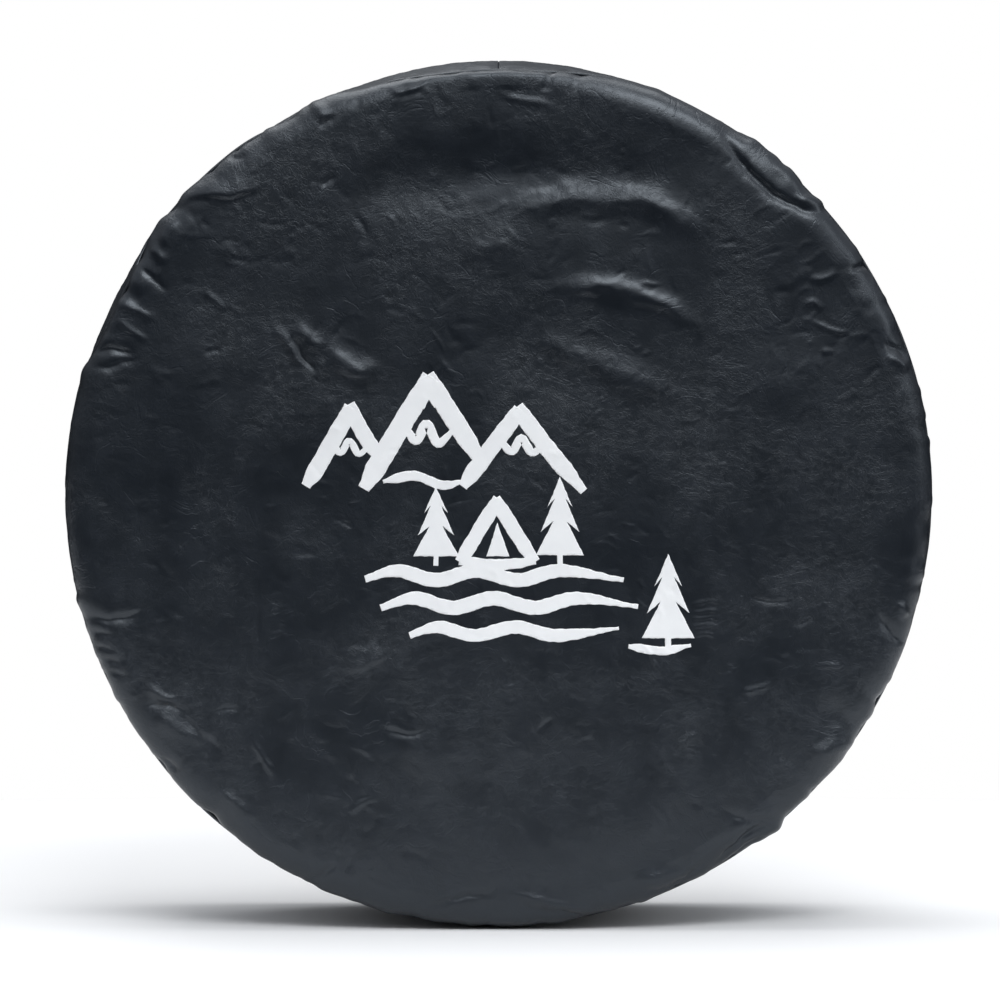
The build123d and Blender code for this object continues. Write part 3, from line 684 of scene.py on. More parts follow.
def edge_gathers(angle, distance, seed, count, reach, size):
    """Puckers that run in from a seam. distance is how far a point is from that seam."""
    pick = np.random.default_rng(seed)
    height = np.zeros(np.broadcast(angle, distance).shape)
    for _ in range(count):
        centre, width = pick.random() * 360, pick.uniform(0.45, 1.25)
        length, lean = reach * pick.uniform(0.35, 1.3), pick.normal() * 0.8
        tall = size * pick.uniform(0.4, 1.2) * (-1 if pick.random() < 0.62 else 0.7)
        d = turn_from(angle, centre, lean * distance / reach)
        spread = width * (1 + 0.6 * distance / reach)
        height = height + tall * np.exp(-((d / spread) ** 2)) * np.exp(-((distance / length) ** 2))
    return height


# ---------------------------------------------------------------- front panel
EDGE_COUNT = 1200         # points round the front's outer rings
RING_COUNTS = ((0.011, 75), (0.022, 150), (0.045, 300), (0.110, 600))     # up to each radius
RING_PITCH = 1.8 * MM


def front_rings():
    """How many points each ring of the flat front has, and its radius, from the centre out."""
    counts, radii = [], []
    radius = 1.2 * MM
    while radius < FRONT_FLAT:
        counts.append(next((n for limit, n in RING_COUNTS if radius < limit), EDGE_COUNT))
        radii.append(radius)
        radius += RING_PITCH
    return counts, radii


def front_profile(angle, t):
    """The shoulder from the flat front to the seam, t from 0 to 1, as (radius, y)."""
    seam_r, seam_y = front_seam(angle)
    p = pulled_in(angle)
    r1, y1 = FRONT_FLAT + 0.015, -FACE_Y
    r2, y2 = seam_r + 0.0066 - 0.0064 * p, seam_y - 0.0185 + 0.002 * p
    return bezier(t, FRONT_FLAT, r1, r2, seam_r), bezier(t, -FACE_Y, y1, y2, seam_y)


def front_point_rings(inset):
    """Every ring of one side of the front panel. inset is 0 outside and the thickness inside."""
    counts, radii = front_rings()
    turns = [np.linspace(0, 2 * math.pi, count, endpoint=False) for count in counts]
    flat = np.vstack([around(radius, 0.0, turn) for radius, turn in zip(radii, turns)])
    flat[:, 1] = -FACE_Y - front_height(flat[:, 0], flat[:, 2]) + inset
    rings = np.split(flat, np.cumsum(counts)[:-1])
    theta = np.linspace(0, 2 * math.pi, EDGE_COUNT, endpoint=False)
    angle = np.degrees(theta)
    seam_r, seam_y = front_seam(angle)
    steps = 1 - (1 - np.linspace(0, 1, 26)[1:]) ** 1.15
    r, y, nr, ny = with_normals(lambda t: front_profile(angle[None], t), steps[:, None], 0.002)
    px, pz = r * np.cos(theta), r * np.sin(theta)
    from_seam = np.hypot(r - seam_r, y - seam_y)
    lift = front_height(px.ravel(), pz.ravel()).reshape(px.shape)
    lift = lift * smooth(from_seam / 0.010) + edge_gathers(angle[None], from_seam, 11, 190, 0.030, 1.7 * MM)
    lift = lift + 0.32 * MM * noise(angle / 1.35, from_seam / 0.02, 51) * np.exp(-from_seam / 0.009)
    lift = lift * smooth((from_seam + 0.002) / 0.006) - inset
    rings += list(around(r + nr * lift, y + ny * lift, theta))
    for depth in (1.5, 4.0, 8.0, 12.0):
        wave = 0.4 * MM * noise(angle / 2.2, depth, 61)
        r = seam_r - 3.4 * MM * smooth(depth / 1.5) - inset + wave * min(1, depth / 4)
        rings.append(around(r, seam_y + depth * MM, theta))
    return rings


def join_rings(rings, offset, flip):
    """Faces of rings from the centre out. A ring has as many points as the last one, or twice as many."""
    faces, starts, start = [], [], offset
    for ring in rings:
        starts.append(start)
        start += len(ring)
    first = [offset + i for i in range(len(rings[0]))]
    faces.append(first if flip else first[::-1])
    for a, b, s0, s1 in zip(rings[:-1], rings[1:], starts[:-1], starts[1:]):
        n = len(a)
        for i in range(n):
            j = (i + 1) % n
            if len(b) == n:
                face = [s0 + i, s0 + j, s1 + j, s1 + i]
            else:
                face = [s0 + i, s0 + j, s1 + (2 * i + 2) % (2 * n), s1 + 2 * i + 1, s1 + 2 * i]
            faces.append(face[::-1] if flip else face)
    return faces, starts[-1]


def front_panel():
    """The front as one closed skin. Its hidden inner side has half the points each way."""
    outer, inner = front_point_rings(0.0), front_point_rings(VINYL)
    inner = [ring if len(ring) <= 300 else ring[::2] for ring in inner]
    parity, last_rings = len(inner) % 2, len(inner) - 5
    inner = [ring for k, ring in enumerate(inner) if len(ring) < 300 or k % 2 == parity or k > last_rings]
    outer_faces, outer_last = join_rings(outer, 0, True)
    offset = sum(len(r) for r in outer)
    inner_faces, inner_last = join_rings(inner, offset, False)
    half = len(inner[-1])
    rim = []
    for i in range(half):
        j = (i + 1) % half
        o0, o1, o2 = outer_last + 2 * i, outer_last + 2 * i + 1, outer_last + (2 * i + 2) % (2 * half)
        rim.append([inner_last + i, o0, o1, o2, inner_last + j][::-1])
    points = np.vstack(outer + inner)
    obj = mesh_object("front_panel_cloth", points, outer_faces + inner_faces + rim, [VINYL_MAT, KNIT_MAT])
    index = np.zeros(len(obj.data.polygons), np.int32)
    index[len(outer_faces):len(outer_faces) + len(inner_faces)] = 1
    obj.data.polygons.foreach_set("material_index", index)
    return obj


front = on_cover(front_panel(), "front_panel")


# ---------------------------------------------------------------- tread band
def arc_length(degrees):
    return np.radians(degrees) * BAND_RADIUS


JOIN_ALLOWANCE, SEAM_ALLOWANCE = 8 * MM, 12 * MM
ALLOWANCE_DROP = 1.9 * MM         # how far the round seams' allowances lie under the band
BAND_PITCH = 2.3 * MM
EYELET_HOLE = 6.6 * MM


def turned_edge(length, drop):
    """Offsets in from a sewn edge, and how far under it each lies: allowance, roll, then the face."""
    across = [length, 0.5 * length, 1.4 * MM, 0.25 * MM, 0.0, 0.15 * MM, 0.6 * MM, 1.5 * MM]
    under = [drop, drop, drop, 0.80 * drop, 0.50 * drop, 0.22 * drop, 0.06 * drop, 0.0]
    return np.array(across), np.array(under)


def band_skin(angle, y):
    """Radius of the tread band's outside at each angle and y, with its wrinkles."""
    seam_y = front_seam(angle)[1]
    r = band_radius(angle, y)
    from_front, from_back = np.clip(y - seam_y, 0, 1), np.clip(BACK_SEAM[1] - y, 0, 1)
    at_eyelets = np.maximum(near(angle, EYELETS[0], 2.2), near(angle, EYELETS[1], 2.2))
    calm = 1 - at_eyelets * smooth((0.03 - np.abs(y)) / 0.02)
    middle = smooth(from_front / 0.03) * smooth(from_back / 0.03)
    wrinkles = edge_gathers(angle, from_front, 13, 240, 0.020, 1.5 * MM)
    wrinkles = wrinkles + edge_gathers(angle, from_back, 14, 200, 0.026, 1.4 * MM)
    wrinkles = wrinkles + 0.9 * MM * noise(angle / 0.9, y / 0.010, 71) * np.exp(-from_front / 0.012)
    wrinkles = wrinkles + middle * 0.55 * MM * noise(angle / 5.0, y / 0.045, 72)
    wrinkles = wrinkles + middle * 0.50 * MM * noise((angle + y * 90) / 1.9, y / 0.030, 73)
    wrinkles = wrinkles + middle * 0.42 * MM * noise((angle - y * 160) / 1.1, y / 0.012, 74)
    for join in (TOP, BOTTOM - GUSSET_HALF, BOTTOM + GUSSET_HALF):
        away = np.abs(arc_length(turn_from(angle, join)))
        pull = noise(y / 0.0085, join, 75) - 0.4
        wrinkles = wrinkles + 0.7 * MM * pull * np.exp(-away / 0.010)
    # over the seam allowances the wrinkles are shallow, so that the cloth clears what lies under it
    by_seam = smooth((0.023 - np.minimum(from_front, from_back)) / 0.008)
    held = 0.35 * MM + 0.75 * MM * np.tanh(wrinkles / (0.75 * MM))
    wrinkles = wrinkles + (held - wrinkles) * by_seam
    return r + np.minimum(wrinkles, (0.6 + 0.5 * by_seam) * MM) * calm


def band_strip(start, end):
    """Points of one strip of the tread band between two angles, with all four edges turned in."""
    across, under = turned_edge(JOIN_ALLOWANCE, 3.0 * MM)
    edge = np.degrees(across / BAND_RADIUS)
    count = int(arc_length(end - start) / BAND_PITCH)
    inner = np.linspace(start + edge[-1], end - edge[-1], count)[1:-1]
    angle = np.concatenate([start + edge, inner, (end - edge)[::-1]])
    drop_columns = np.concatenate([under, np.zeros(len(inner)), under[::-1]])
    seam_y = front_seam(angle)[1]
    row_across, row_under = turned_edge(SEAM_ALLOWANCE, ALLOWANCE_DROP)
    t = np.linspace(0, 1, 64)[1:-1]
    t = t - 0.10 * np.sin(2 * math.pi * t) / (2 * math.pi)
    front_rows = seam_y[None] + row_across[:, None]
    back_rows = BACK_SEAM[1] - row_across[::-1, None] + 0 * seam_y[None]
    low, high = front_rows[-1], back_rows[0]
    middle = low[None] + (high - low)[None] * t[:, None]
    y = np.vstack([front_rows, middle, back_rows])
    drop_rows = np.concatenate([row_under, np.zeros(len(t)), row_under[::-1]])
    on_face = np.vstack([np.minimum(front_rows, low), middle, np.maximum(back_rows, high)])
    at_edge = np.full(len(row_across), True)
    edge_rows = np.concatenate([at_edge, np.full(len(t), False), at_edge])[:, None]
    skin = band_skin(angle[None], np.where(edge_rows, np.clip(y, seam_y[None], BACK_SEAM[1]), on_face))
    front_fold = np.repeat(seam_y[None], len(row_across), 0)
    back_fold = np.full(back_rows.shape, BACK_SEAM[1])
    flat_r = band_radius(angle[None], np.vstack([front_fold, middle, back_fold]))
    under_it = (drop_rows > 0.9 * ALLOWANCE_DROP)[:, None]
    r = np.where(under_it, flat_r, skin) - drop_rows[:, None] - drop_columns[None]
    return around(r, y, np.radians(angle))


def band_piece(name, start, end, node, holes=()):
    """A strip of the band as cloth, with a round hole at each angle in holes."""
    points = band_strip(start, end)
    rows, columns = points.shape[:2]
    faces = grid_faces(rows, columns)[:, ::-1]
    flat = points.reshape(-1, 3)
    for hole in holes:
        away = np.linalg.norm(flat[faces].mean(axis=1) - around(BAND_RADIUS, 0, math.radians(hole)), axis=1)
        faces = faces[away > EYELET_HOLE]
    obj = mesh_object(name, flat, faces, [VINYL_MAT, KNIT_MAT])
    thicken(obj, VINYL, KNIT_MAT)
    return on_cover(obj, node)


band_left = band_piece("tread_band_left_cloth", TOP, BOTTOM - GUSSET_HALF, "tread_band_left")
band_right = band_piece("tread_band_right_cloth", BOTTOM + GUSSET_HALF - 360, TOP, "tread_band_right")
gusset = band_piece("drain_gusset_cloth", BOTTOM - GUSSET_HALF, BOTTOM + GUSSET_HALF, "drain_gusset", EYELETS)


# ---------------------------------------------------------------- back skirts
def quiet_places(x, z):
    """0 under the straps and their patches, 1 elsewhere."""
    strap = smooth((np.abs(z - STRAP_Z) - 0.020) / 0.022)
    outside = smooth((np.abs(x) - 0.292) / 0.02)
    return np.maximum(strap, outside)


def skirt_pleats(angle, r):
    """How far the back skirt stands out of its plane: pleats drawn in by the elastic hem."""
    pick = np.random.default_rng(23)
    grow = smooth((0.338 - r) / 0.095)
    height = np.zeros(np.broadcast(angle, r).shape)
    place = -90.0
    while place < 268.5:
        place += pick.uniform(4.6, 8.8)
        width, tall, lean = pick.uniform(0.9, 1.9), pick.uniform(0.55, 1.1), pick.normal() * 1.8
        d = turn_from(angle, place, lean * (0.30 - r) / 0.06)
        spread = width * (0.55 + 0.75 * (r - 0.222) / 0.1)
        height = height - 5.6 * MM * tall * np.exp(-((d / spread) ** 2))
        height = height + 1.5 * MM * tall * np.exp(-(((np.abs(d) - 1.9 * spread) / (0.9 * spread)) ** 2))
    x, z = r * np.cos(np.radians(angle)), r * np.sin(np.radians(angle))
    height = height * grow + grow * 0.5 * MM * noise(x / 0.014, z / 0.014, 82)
    height = height + smooth((0.34 - r) / 0.03) * (0.9 * MM * noise(x / 0.06, z / 0.05, 81))
    join = np.minimum(np.abs(turn_from(angle, TOP)), np.abs(turn_from(angle, BOTTOM)))
    return (height * (0.35 + 0.65 * smooth(join / 3.0)) - 1.2 * MM * grow) * quiet_places(x, z)


def skirt_profile(t):
    """The back shoulder from its seam (t = 0) to the flat back (t = 1), as (radius, y)."""
    seam_r, seam_y = BACK_SEAM
    r = bezier(t, seam_r, seam_r + 0.0012, 0.334, BACK_FLAT)
    return r, bezier(t, seam_y, seam_y + 0.0085, FACE_Y, FACE_Y)


def skirt_piece(name, start, end, node):
    """Half of the back, from its seam to the elastic hem, with its edges turned in."""
    across, under = turned_edge(JOIN_ALLOWANCE, 2.6 * MM)
    edge = np.degrees(across / 0.30)
    inner = np.linspace(start + edge[-1], end - edge[-1], 430)[1:-1]
    angle = np.concatenate([start + edge, inner, (end - edge)[::-1]])
    drop = np.concatenate([under, np.zeros(len(inner)), under[::-1]])
    r_curve, y_curve, nr, ny = with_normals(skirt_profile, np.linspace(0, 1, 26), 0.003)
    flat_r = np.linspace(BACK_FLAT, 0.239, 32)[1:]
    r = np.concatenate([r_curve, flat_r])[:, None]
    y = np.concatenate([y_curve, np.full(len(flat_r), FACE_Y)])[:, None]
    nr = np.concatenate([nr, np.zeros(len(flat_r))])[:, None]
    ny = np.concatenate([ny, np.ones(len(flat_r))])[:, None]
    from_seam = np.hypot(r - BACK_SEAM[0], y - BACK_SEAM[1])
    lift = skirt_pleats(angle[None], r) * smooth(from_seam / 0.02)
    puckers = edge_gathers(angle[None], from_seam, 29, 190, 0.030, 1.5 * MM)
    lift = lift + puckers * smooth((from_seam + 0.002) / 0.006)
    lift = lift - drop[None] - 0.8 * MM * np.exp(-from_seam / (0.9 * MM))
    rr, yy = r + nr * lift, y + ny * lift
    allowance = np.array([[-1.9, 12.0], [-1.9, 6.0], [-1.7, 1.4], [-1.2, 0.3]]) * MM
    top_r, top_y = BACK_SEAM[0] + allowance[:, :1], BACK_SEAM[1] - allowance[:, 1:]
    top_r = top_r - 1.6 * MM * smooth(allowance[:, 1:] / (2 * MM)) - drop[None]
    rr, yy = np.vstack([top_r, rr]), np.vstack([top_y + 0 * drop[None], yy])
    points = around(rr, yy, np.radians(angle))
    faces = grid_faces(*points.shape[:2])[:, ::-1]
    obj = mesh_object(name, points.reshape(-1, 3), faces, [VINYL_MAT, KNIT_MAT])
    thicken(obj, VINYL, KNIT_MAT)
    return on_cover(obj, node)


skirt_left = skirt_piece("back_skirt_left_cloth", TOP, BOTTOM, "back_skirt_left")
skirt_right = skirt_piece("back_skirt_right_cloth", BOTTOM - 360, TOP, "back_skirt_right")


# ---------------------------------------------------------------- elastic hem
HEM_Y = FACE_Y - 0.6 * MM


def hem_ruffle(angle, r):
    """Small gathers of the hem between its stitches, on top of the pleats."""
    x, z = r * np.cos(np.radians(angle)), r * np.sin(np.radians(angle))
    return 0.75 * MM * noise(angle / 0.95, r / 0.016, 91) * (0.25 + 0.75 * quiet_places(x, z))


# the casing's half height in mm at shares of its width, then the way inward at each of its points
HEM_HALVES = ((1.0, 1.50), (0.8, 1.95), (0.62, 2.15), (0.45, 2.2), (0.28, 2.15), (0.12, 1.7), (0.03, 1.0))
HEM_IN_R = np.array([0, 0, 0, 0, 0, 0.3, 0.8, 1.0, 0.8, 0.3, 0, 0, 0, 0, 0])
HEM_IN_Y = np.array([-1, -1, -1, -1, -1, -0.95, -0.6, 0, 0.6, 0.95, 1, 1, 1, 1, 1])


def hem_section(theta):
    """The casing as a folded strip: outside layer, fold at the opening, inside layer, with real thickness."""
    angle = np.degrees(theta)[:, None]
    wave = 1.0 * MM * noise(angle / 1.3, 4.0, 92)
    edge = HEM_CLEAR + 0.8 * MM + np.minimum(wave, 1.2 * MM)
    out_r, out_y, in_r, in_y = [], [], [], []
    for share, half in HEM_HALVES:
        r = edge + (HEM_OUTER - edge) * share
        base = HEM_Y + skirt_pleats(angle, r)
        puff = hem_ruffle(angle, r) * smooth(share / 0.2) * smooth((1.06 - share) / 0.25)
        out_r.append(r)
        out_y.append(base + half * MM + np.maximum(puff, -0.5 * MM))
        in_r.append(r)
        in_y.append(base - half * MM - np.maximum(-puff, -0.5 * MM))
    tip_y = HEM_Y + skirt_pleats(angle, edge)
    r = out_r + [edge - 0.4 * MM] + in_r[::-1]
    y = out_y + [tip_y] + in_y[::-1]
    r, y = np.concatenate(r, axis=1), np.concatenate(y, axis=1)
    wall = 0.8 * MM
    back_r, back_y = r + wall * HEM_IN_R, y + wall * HEM_IN_Y
    return np.concatenate([r, back_r[:, ::-1]], axis=1), np.concatenate([y, back_y[:, ::-1]], axis=1)


HEM_STATIONS = 1100
hem = on_cover(ring_tube("hem_casing_cloth", hem_section, HEM_STATIONS, VINYL_MAT), "hem_casing")


def elastic_section(theta):
    """The flat elastic inside the casing."""
    angle = np.degrees(theta)[:, None]
    half = 0.45 * MM
    r = np.array([[0.2250, 0.2292, 0.2340, 0.2340, 0.2292, 0.2250]]) + 0 * angle
    return r, HEM_Y + skirt_pleats(angle, r) + np.array([[half, half, half, -half, -half, -half]])


elastic_tube = ring_tube("hem_elastic_band", elastic_section, HEM_STATIONS, ELASTIC_MAT)
elastic = on_cover(elastic_tube, "hem_elastic")


# ---------------------------------------------------------------- piping and binding tapes
SEAM_STATIONS = 900


def piping_centre(angle):
    seam_r, seam_y = front_seam(angle)
    return seam_r + (0.2 - 0.5 * pulled_in(angle)) * MM, seam_y - (0.7 + 1.1 * pulled_in(angle)) * MM


def piping_radius(angle, radius):
    return radius * (1 + 0.05 * noise(angle / 1.7, 0.5, 95))


def cord_section(theta):
    """The round filler inside the piping."""
    angle = np.degrees(theta)[:, None]
    r, y = piping_centre(angle)
    turn = np.linspace(0, 2 * math.pi, 8, endpoint=False)
    radius = piping_radius(angle, 1.0 * MM)
    return r + radius * np.cos(turn), y + radius * np.sin(turn)


def sleeve_section(theta):
    """The sleeve wraps the cord and its two tails go into the seam."""
    angle = np.degrees(theta)[:, None]
    r, y = piping_centre(angle)
    seam_r, seam_y = front_seam(angle)
    fat = piping_radius(angle, 1.8 * MM)
    turn = np.radians(np.array([35, 10, -15, -40, -65, -90, -115, -140, -165, -190, -215]))[None]
    bead_r, bead_y = r + fat * np.cos(turn), y + fat * np.sin(turn)
    tail = np.array([[1.5, -3.05], [4.0, -3.0], [9.0, -2.95], [9.0, -2.45], [4.0, -2.5], [1.5, -2.3]]) * MM
    tail_r, tail_y = seam_r + tail[None, :, 1], seam_y + tail[None, :, 0]
    return np.concatenate([bead_r, tail_r], axis=1), np.concatenate([bead_y, tail_y], axis=1)


sleeve = ring_tube("front_piping_sleeve_cloth", sleeve_section, SEAM_STATIONS, PIPING_MAT)
piping = on_cover(sleeve, "front_piping_sleeve")
on_cover(ring_tube("front_piping_cord_filler", cord_section, 600, CORE_MAT), "front_piping_cord")


def binding_section(seam, side, high, low):
    """A tape folded over the ends of the seam allowances. side is +1 where they run toward +y."""
    middle, thick = 0.5 * (high + low), 0.5
    outer = [(4.0, high), (8.0, high), (12.6, high), (13.4, middle), (12.6, low), (8.0, low), (4.0, low)]
    low, high = low + thick, high - thick
    inner = [(4.0, low), (8.0, low), (12.4, low), (12.9, middle), (12.4, high), (8.0, high), (4.0, high)]
    loop = np.array(outer + inner) * MM

    def section(theta):
        angle = np.degrees(theta)[:, None]
        seam_r, seam_y = seam(angle)
        wave = 0.10 * MM * noise(angle / 1.9, 1.5, 97)
        return seam_r + wave + loop[None, :, 1], seam_y + side * loop[None, :, 0] + 0 * wave
    return section


def back_seam(angle):
    return BACK_SEAM[0] + 0 * angle, BACK_SEAM[1] + 0 * angle


for end, section in (("front", binding_section(front_seam, 1, -1.4, -5.3)),
                     ("back", binding_section(back_seam, -1, -1.4, -5.4))):
    tape = ring_tube(f"{end}_seam_binding", section, SEAM_STATIONS, TAPE_MAT)
    on_cover(tape, f"{end}_seam_tape")


def flat_tapes(name, grids, node, turned):
    """Flat tapes from grids of points of one size, as one piece. turned flips their faces."""
    rows, columns = grids[0].shape[:2]
    faces = grid_faces(rows, columns)[:, ::-1 if turned else 1]
    faces = np.concatenate([faces + rows * columns * k for k in range(len(grids))])
    obj = mesh_object(name, np.concatenate(grids).reshape(-1, 3), faces, TAPE_MAT)
    thicken(obj, 0.5 * MM)
    return on_cover(obj, node)


def band_tape(join):
    """A tape over the strips' allowances on the inside of the band."""
    offsets = np.degrees(np.linspace(-11, 11, 12) * MM / BAND_RADIUS)[None]
    y = np.linspace(-0.068, 0.080, 60)[:, None]
    r = band_radius(join + offsets, y) - 5.1 * MM + 0.2 * MM * noise(offsets * 2, y / 0.01, 98)
    return around(r, y, np.radians(join + offsets))


def skirt_tape(join):
    """A tape over the allowances where the two halves of the back meet."""
    r = np.linspace(0.246, 0.296, 26)[:, None]
    angle = join + np.degrees(np.linspace(-9, 9, 9)[None] * MM / r)
    return around(r, FACE_Y + skirt_pleats(angle, r) - 4.6 * MM, np.radians(angle))


GUSSET_JOINS = (BOTTOM - GUSSET_HALF, BOTTOM + GUSSET_HALF)
flat_tapes("top_join_binding", [band_tape(TOP)], "top_join_tape", True)
flat_tapes("gusset_join_bindings", [band_tape(join) for join in GUSSET_JOINS], "gusset_join_tapes", True)
flat_tapes("skirt_join_bindings", [skirt_tape(join) for join in (TOP, BOTTOM)], "skirt_join_tapes", False)


# ---------------------------------------------------------------- thread
STITCH_PITCH = 4.0 * MM


def ring_stitches(name, node, place, normal, radius):
    """Stitches right round the cover. place gives (radius, y) for angles, and normal is their way out."""
    count = int(2 * math.pi * radius / STITCH_PITCH)
    angle = np.linspace(0, 360, count, endpoint=False) + 0.1
    theta = np.radians(angle)
    obj = stitches(name, around(*place(angle), theta), around(*normal, theta), THREAD_MAT)
    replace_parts(obj, node)


def hem_stitch_line(angle):
    r = np.full_like(angle, 0.2392)
    return r, HEM_Y + skirt_pleats(angle, r) + 1.62 * MM


def front_stitch_line(angle):
    r, y = front_seam(angle)
    return r - 5.35 * MM, y + 7.5 * MM


def back_stitch_line(angle):
    r, y = back_seam(angle)
    return r - 5.45 * MM, y - 7.5 * MM


ring_stitches("hem_stitches", "hem_thread", hem_stitch_line, (0, 1), 0.239)
ring_stitches("front_seam_stitches", "front_seam_thread", front_stitch_line, (-1, 0), 0.35)
ring_stitches("back_seam_stitches", "back_seam_thread", back_stitch_line, (-1, 0), 0.35)


def row_stitches(name, rows, pitch=STITCH_PITCH):
    """Straight rows of stitches, one piece each. A row is (points, normal). Returns the first piece."""
    made = []
    for k, (points, normal) in enumerate(rows):
        at = spaced(points, pitch)
        normals = np.repeat(np.array([normal], float), len(at), 0)
        made.append(stitches(f"{name}_{k + 1}", at, normals, THREAD_MAT))
    return made[0]


def band_row(join, side):
    y = np.linspace(-0.066, 0.078, 60)
    angle = join + math.degrees(side * 4 * MM / BAND_RADIUS)
    theta = math.radians(angle)
    return around(band_radius(np.full_like(y, angle), y) - 5.66 * MM, y, theta), around(-1, 0, theta)


def skirt_row(join, side):
    r = np.linspace(0.247, 0.295, 40)
    angle = join + np.degrees(side * 4 * MM / r)
    return around(r, FACE_Y + skirt_pleats(angle, r) - 5.15 * MM, np.radians(angle)), (0, -1, 0)


band_rows = [band_row(join, side) for join in (TOP, *GUSSET_JOINS) for side in (-1, 1)]
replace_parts(row_stitches("band_join_stitches", band_rows), "band_join_thread")
skirt_rows = [skirt_row(join, side) for join in (TOP, BOTTOM) for side in (-1, 1)]
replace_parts(row_stitches("skirt_join_stitches", skirt_rows), "skirt_join_thread")


# ---------------------------------------------------------------- the white print
STROKE_WOBBLE, FILL_WOBBLE = 0.5, 0.4      # unevenness of the print's edges


def brush(points, width, start, end, seed):
    """The outline of a brush stroke that starts and ends at shares of its width. All in millimetres."""
    line = curve_points(points, 12)
    length = line_length(line)
    at = np.linspace(0, length, max(8, int(length / 1.6)))
    line = resampled(line, at)
    along = np.gradient(line, axis=0)
    along /= np.linalg.norm(along, axis=1, keepdims=True)
    side = np.stack([-along[:, 1], along[:, 0]], axis=1)
    t = at / length
    taper = (start + (1 - start) * smooth(t / 0.18)) * (end + (1 - end) * smooth((1 - t) / 0.30))
    left = 0.5 * width * taper + STROKE_WOBBLE * noise(at / 5.0, 0.3, seed + 200)
    right = 0.5 * width * taper + STROKE_WOBBLE * noise(at / 5.0, 0.3, seed + 300)
    return np.vstack([line + side * left[:, None], (line - side * right[:, None])[::-1]])


def filled(points, seed):
    """A filled shape with slightly uneven edges."""
    p = np.vstack([np.asarray(points, float), points[:1]])
    out = []
    for a, b in zip(p[:-1], p[1:]):
        n = max(2, int(np.linalg.norm(b - a) / 1.8))
        out.append(a + (b - a) * np.linspace(0, 1, n, endpoint=False)[:, None])
    out = np.vstack(out)
    x, z = out.T / 4
    return out + FILL_WOBBLE * np.stack([noise(x, z, seed + 400), noise(x, z, seed + 500)], axis=1)


def pine(x, z, tall, wide, seed):
    """A small pine: three tiers of branches over a trunk."""
    right = []
    for top, low, share in ((1.0, 0.66, 0.52), (0.76, 0.38, 0.80), (0.50, 0.12, 1.0)):
        half = 0.5 * wide * share
        right += [(half * 0.28, top * tall), (half, low * tall)]
    right[0] = (0.0, tall)
    right += [(0.055 * wide, 0.12 * tall), (0.055 * wide, 0.0)]
    left = [(-px, pz) for px, pz in right[::-1] if px > 0]
    return filled([(x + px, z + pz) for px, pz in right + left], seed)


PRINT = [
    # first row: three peaks with snow lines
    brush([(-160, 8), (-141, 40), (-122, 74)], 14, 0.6, 0.9, 1),
    brush([(-125, 76), (-110, 48), (-97, 30)], 13, 0.9, 0.6, 2),
    brush([(-140, 46), (-131, 36), (-124, 46), (-116, 35), (-107, 43)], 6, 0.6, 0.5, 3),
    brush([(-112, 6), (-86, 50), (-56, 99)], 17, 0.6, 0.9, 4),
    brush([(-60, 100), (-36, 62), (-14, 28)], 16, 0.9, 0.6, 5),
    brush([(-78, 58), (-68, 46), (-60, 60), (-50, 44), (-37, 56)], 8, 0.6, 0.5, 6),
    filled([(-66, 84), (-57, 97), (-47, 80), (-53, 73), (-58, 80), (-62, 72)], 7),
    brush([(-30, 8), (-6, 40), (18, 72)], 14, 0.6, 0.9, 8),
    brush([(15, 74), (42, 38), (71, 4)], 14, 0.9, 0.5, 9),
    brush([(2, 46), (11, 37), (19, 48), (28, 36), (38, 44)], 7, 0.6, 0.5, 10),
    brush([(-96, 12), (-70, 17), (-46, 9), (-26, 14)], 8, 0.4, 0.3, 11),
    # second row: a tent between two pines
    brush([(-32, -55), (-17, -30), (0, -2)], 12, 0.8, 0.8, 12),
    brush([(-3, -2), (14, -30), (30, -55)], 12, 0.8, 0.8, 13),
    brush([(-33, -54), (0, -57), (31, -54)], 9, 0.7, 0.7, 14),
    filled([(-1, -22), (9, -50), (-10, -50)], 15),
    pine(-52, -58, 66, 38, 16),
    pine(51, -58, 74, 40, 17),
    # third row: long waves and a pine
    brush([(-111, -69), (-84, -62), (-52, -70), (-18, -62), (16, -70), (52, -62), (104, -70)],
          12, 0.5, 0.35, 18),
    brush([(-98, -93), (-70, -85), (-38, -93), (-4, -85), (30, -93), (66, -85), (116, -92)],
          12, 0.5, 0.3, 19),
    brush([(-74, -116), (-50, -109), (-20, -116), (14, -109), (48, -116), (100, -110)], 11, 0.5, 0.25, 20),
    pine(141, -128, 80, 44, 21),
    brush([(108, -125), (136, -129), (160, -124)], 7, 0.5, 0.4, 22),
]


def inside(polygon, px, pz):
    """Which points lie inside a polygon."""
    hit = np.zeros(len(px), bool)
    x0, z0 = polygon[:, 0], polygon[:, 1]
    x1, z1 = np.roll(x0, -1), np.roll(z0, -1)
    for a, b, c, d in zip(x0, z0, x1, z1):
        if b == d:
            continue
        cross = (pz < b) != (pz < d)
        hit ^= cross & (px < (c - a) * (pz - b) / (d - b) + a)
    return hit


def front_surface():
    """A lookup of the front's outer surface."""
    mesh = front.data
    points = np.empty(len(mesh.vertices) * 3, np.float32)
    mesh.vertices.foreach_get("co", points)
    points = points.reshape(-1, 3)
    faces = [tuple(p.vertices) for p in mesh.polygons if p.material_index == 0 and p.center.y < -0.10]
    return BVHTree.FromPolygons([Vector(p) for p in points], faces)


PRINT_GRID = 1.7          # pitch of the print's mesh in mm
INK_LIFT = 0.26 * MM


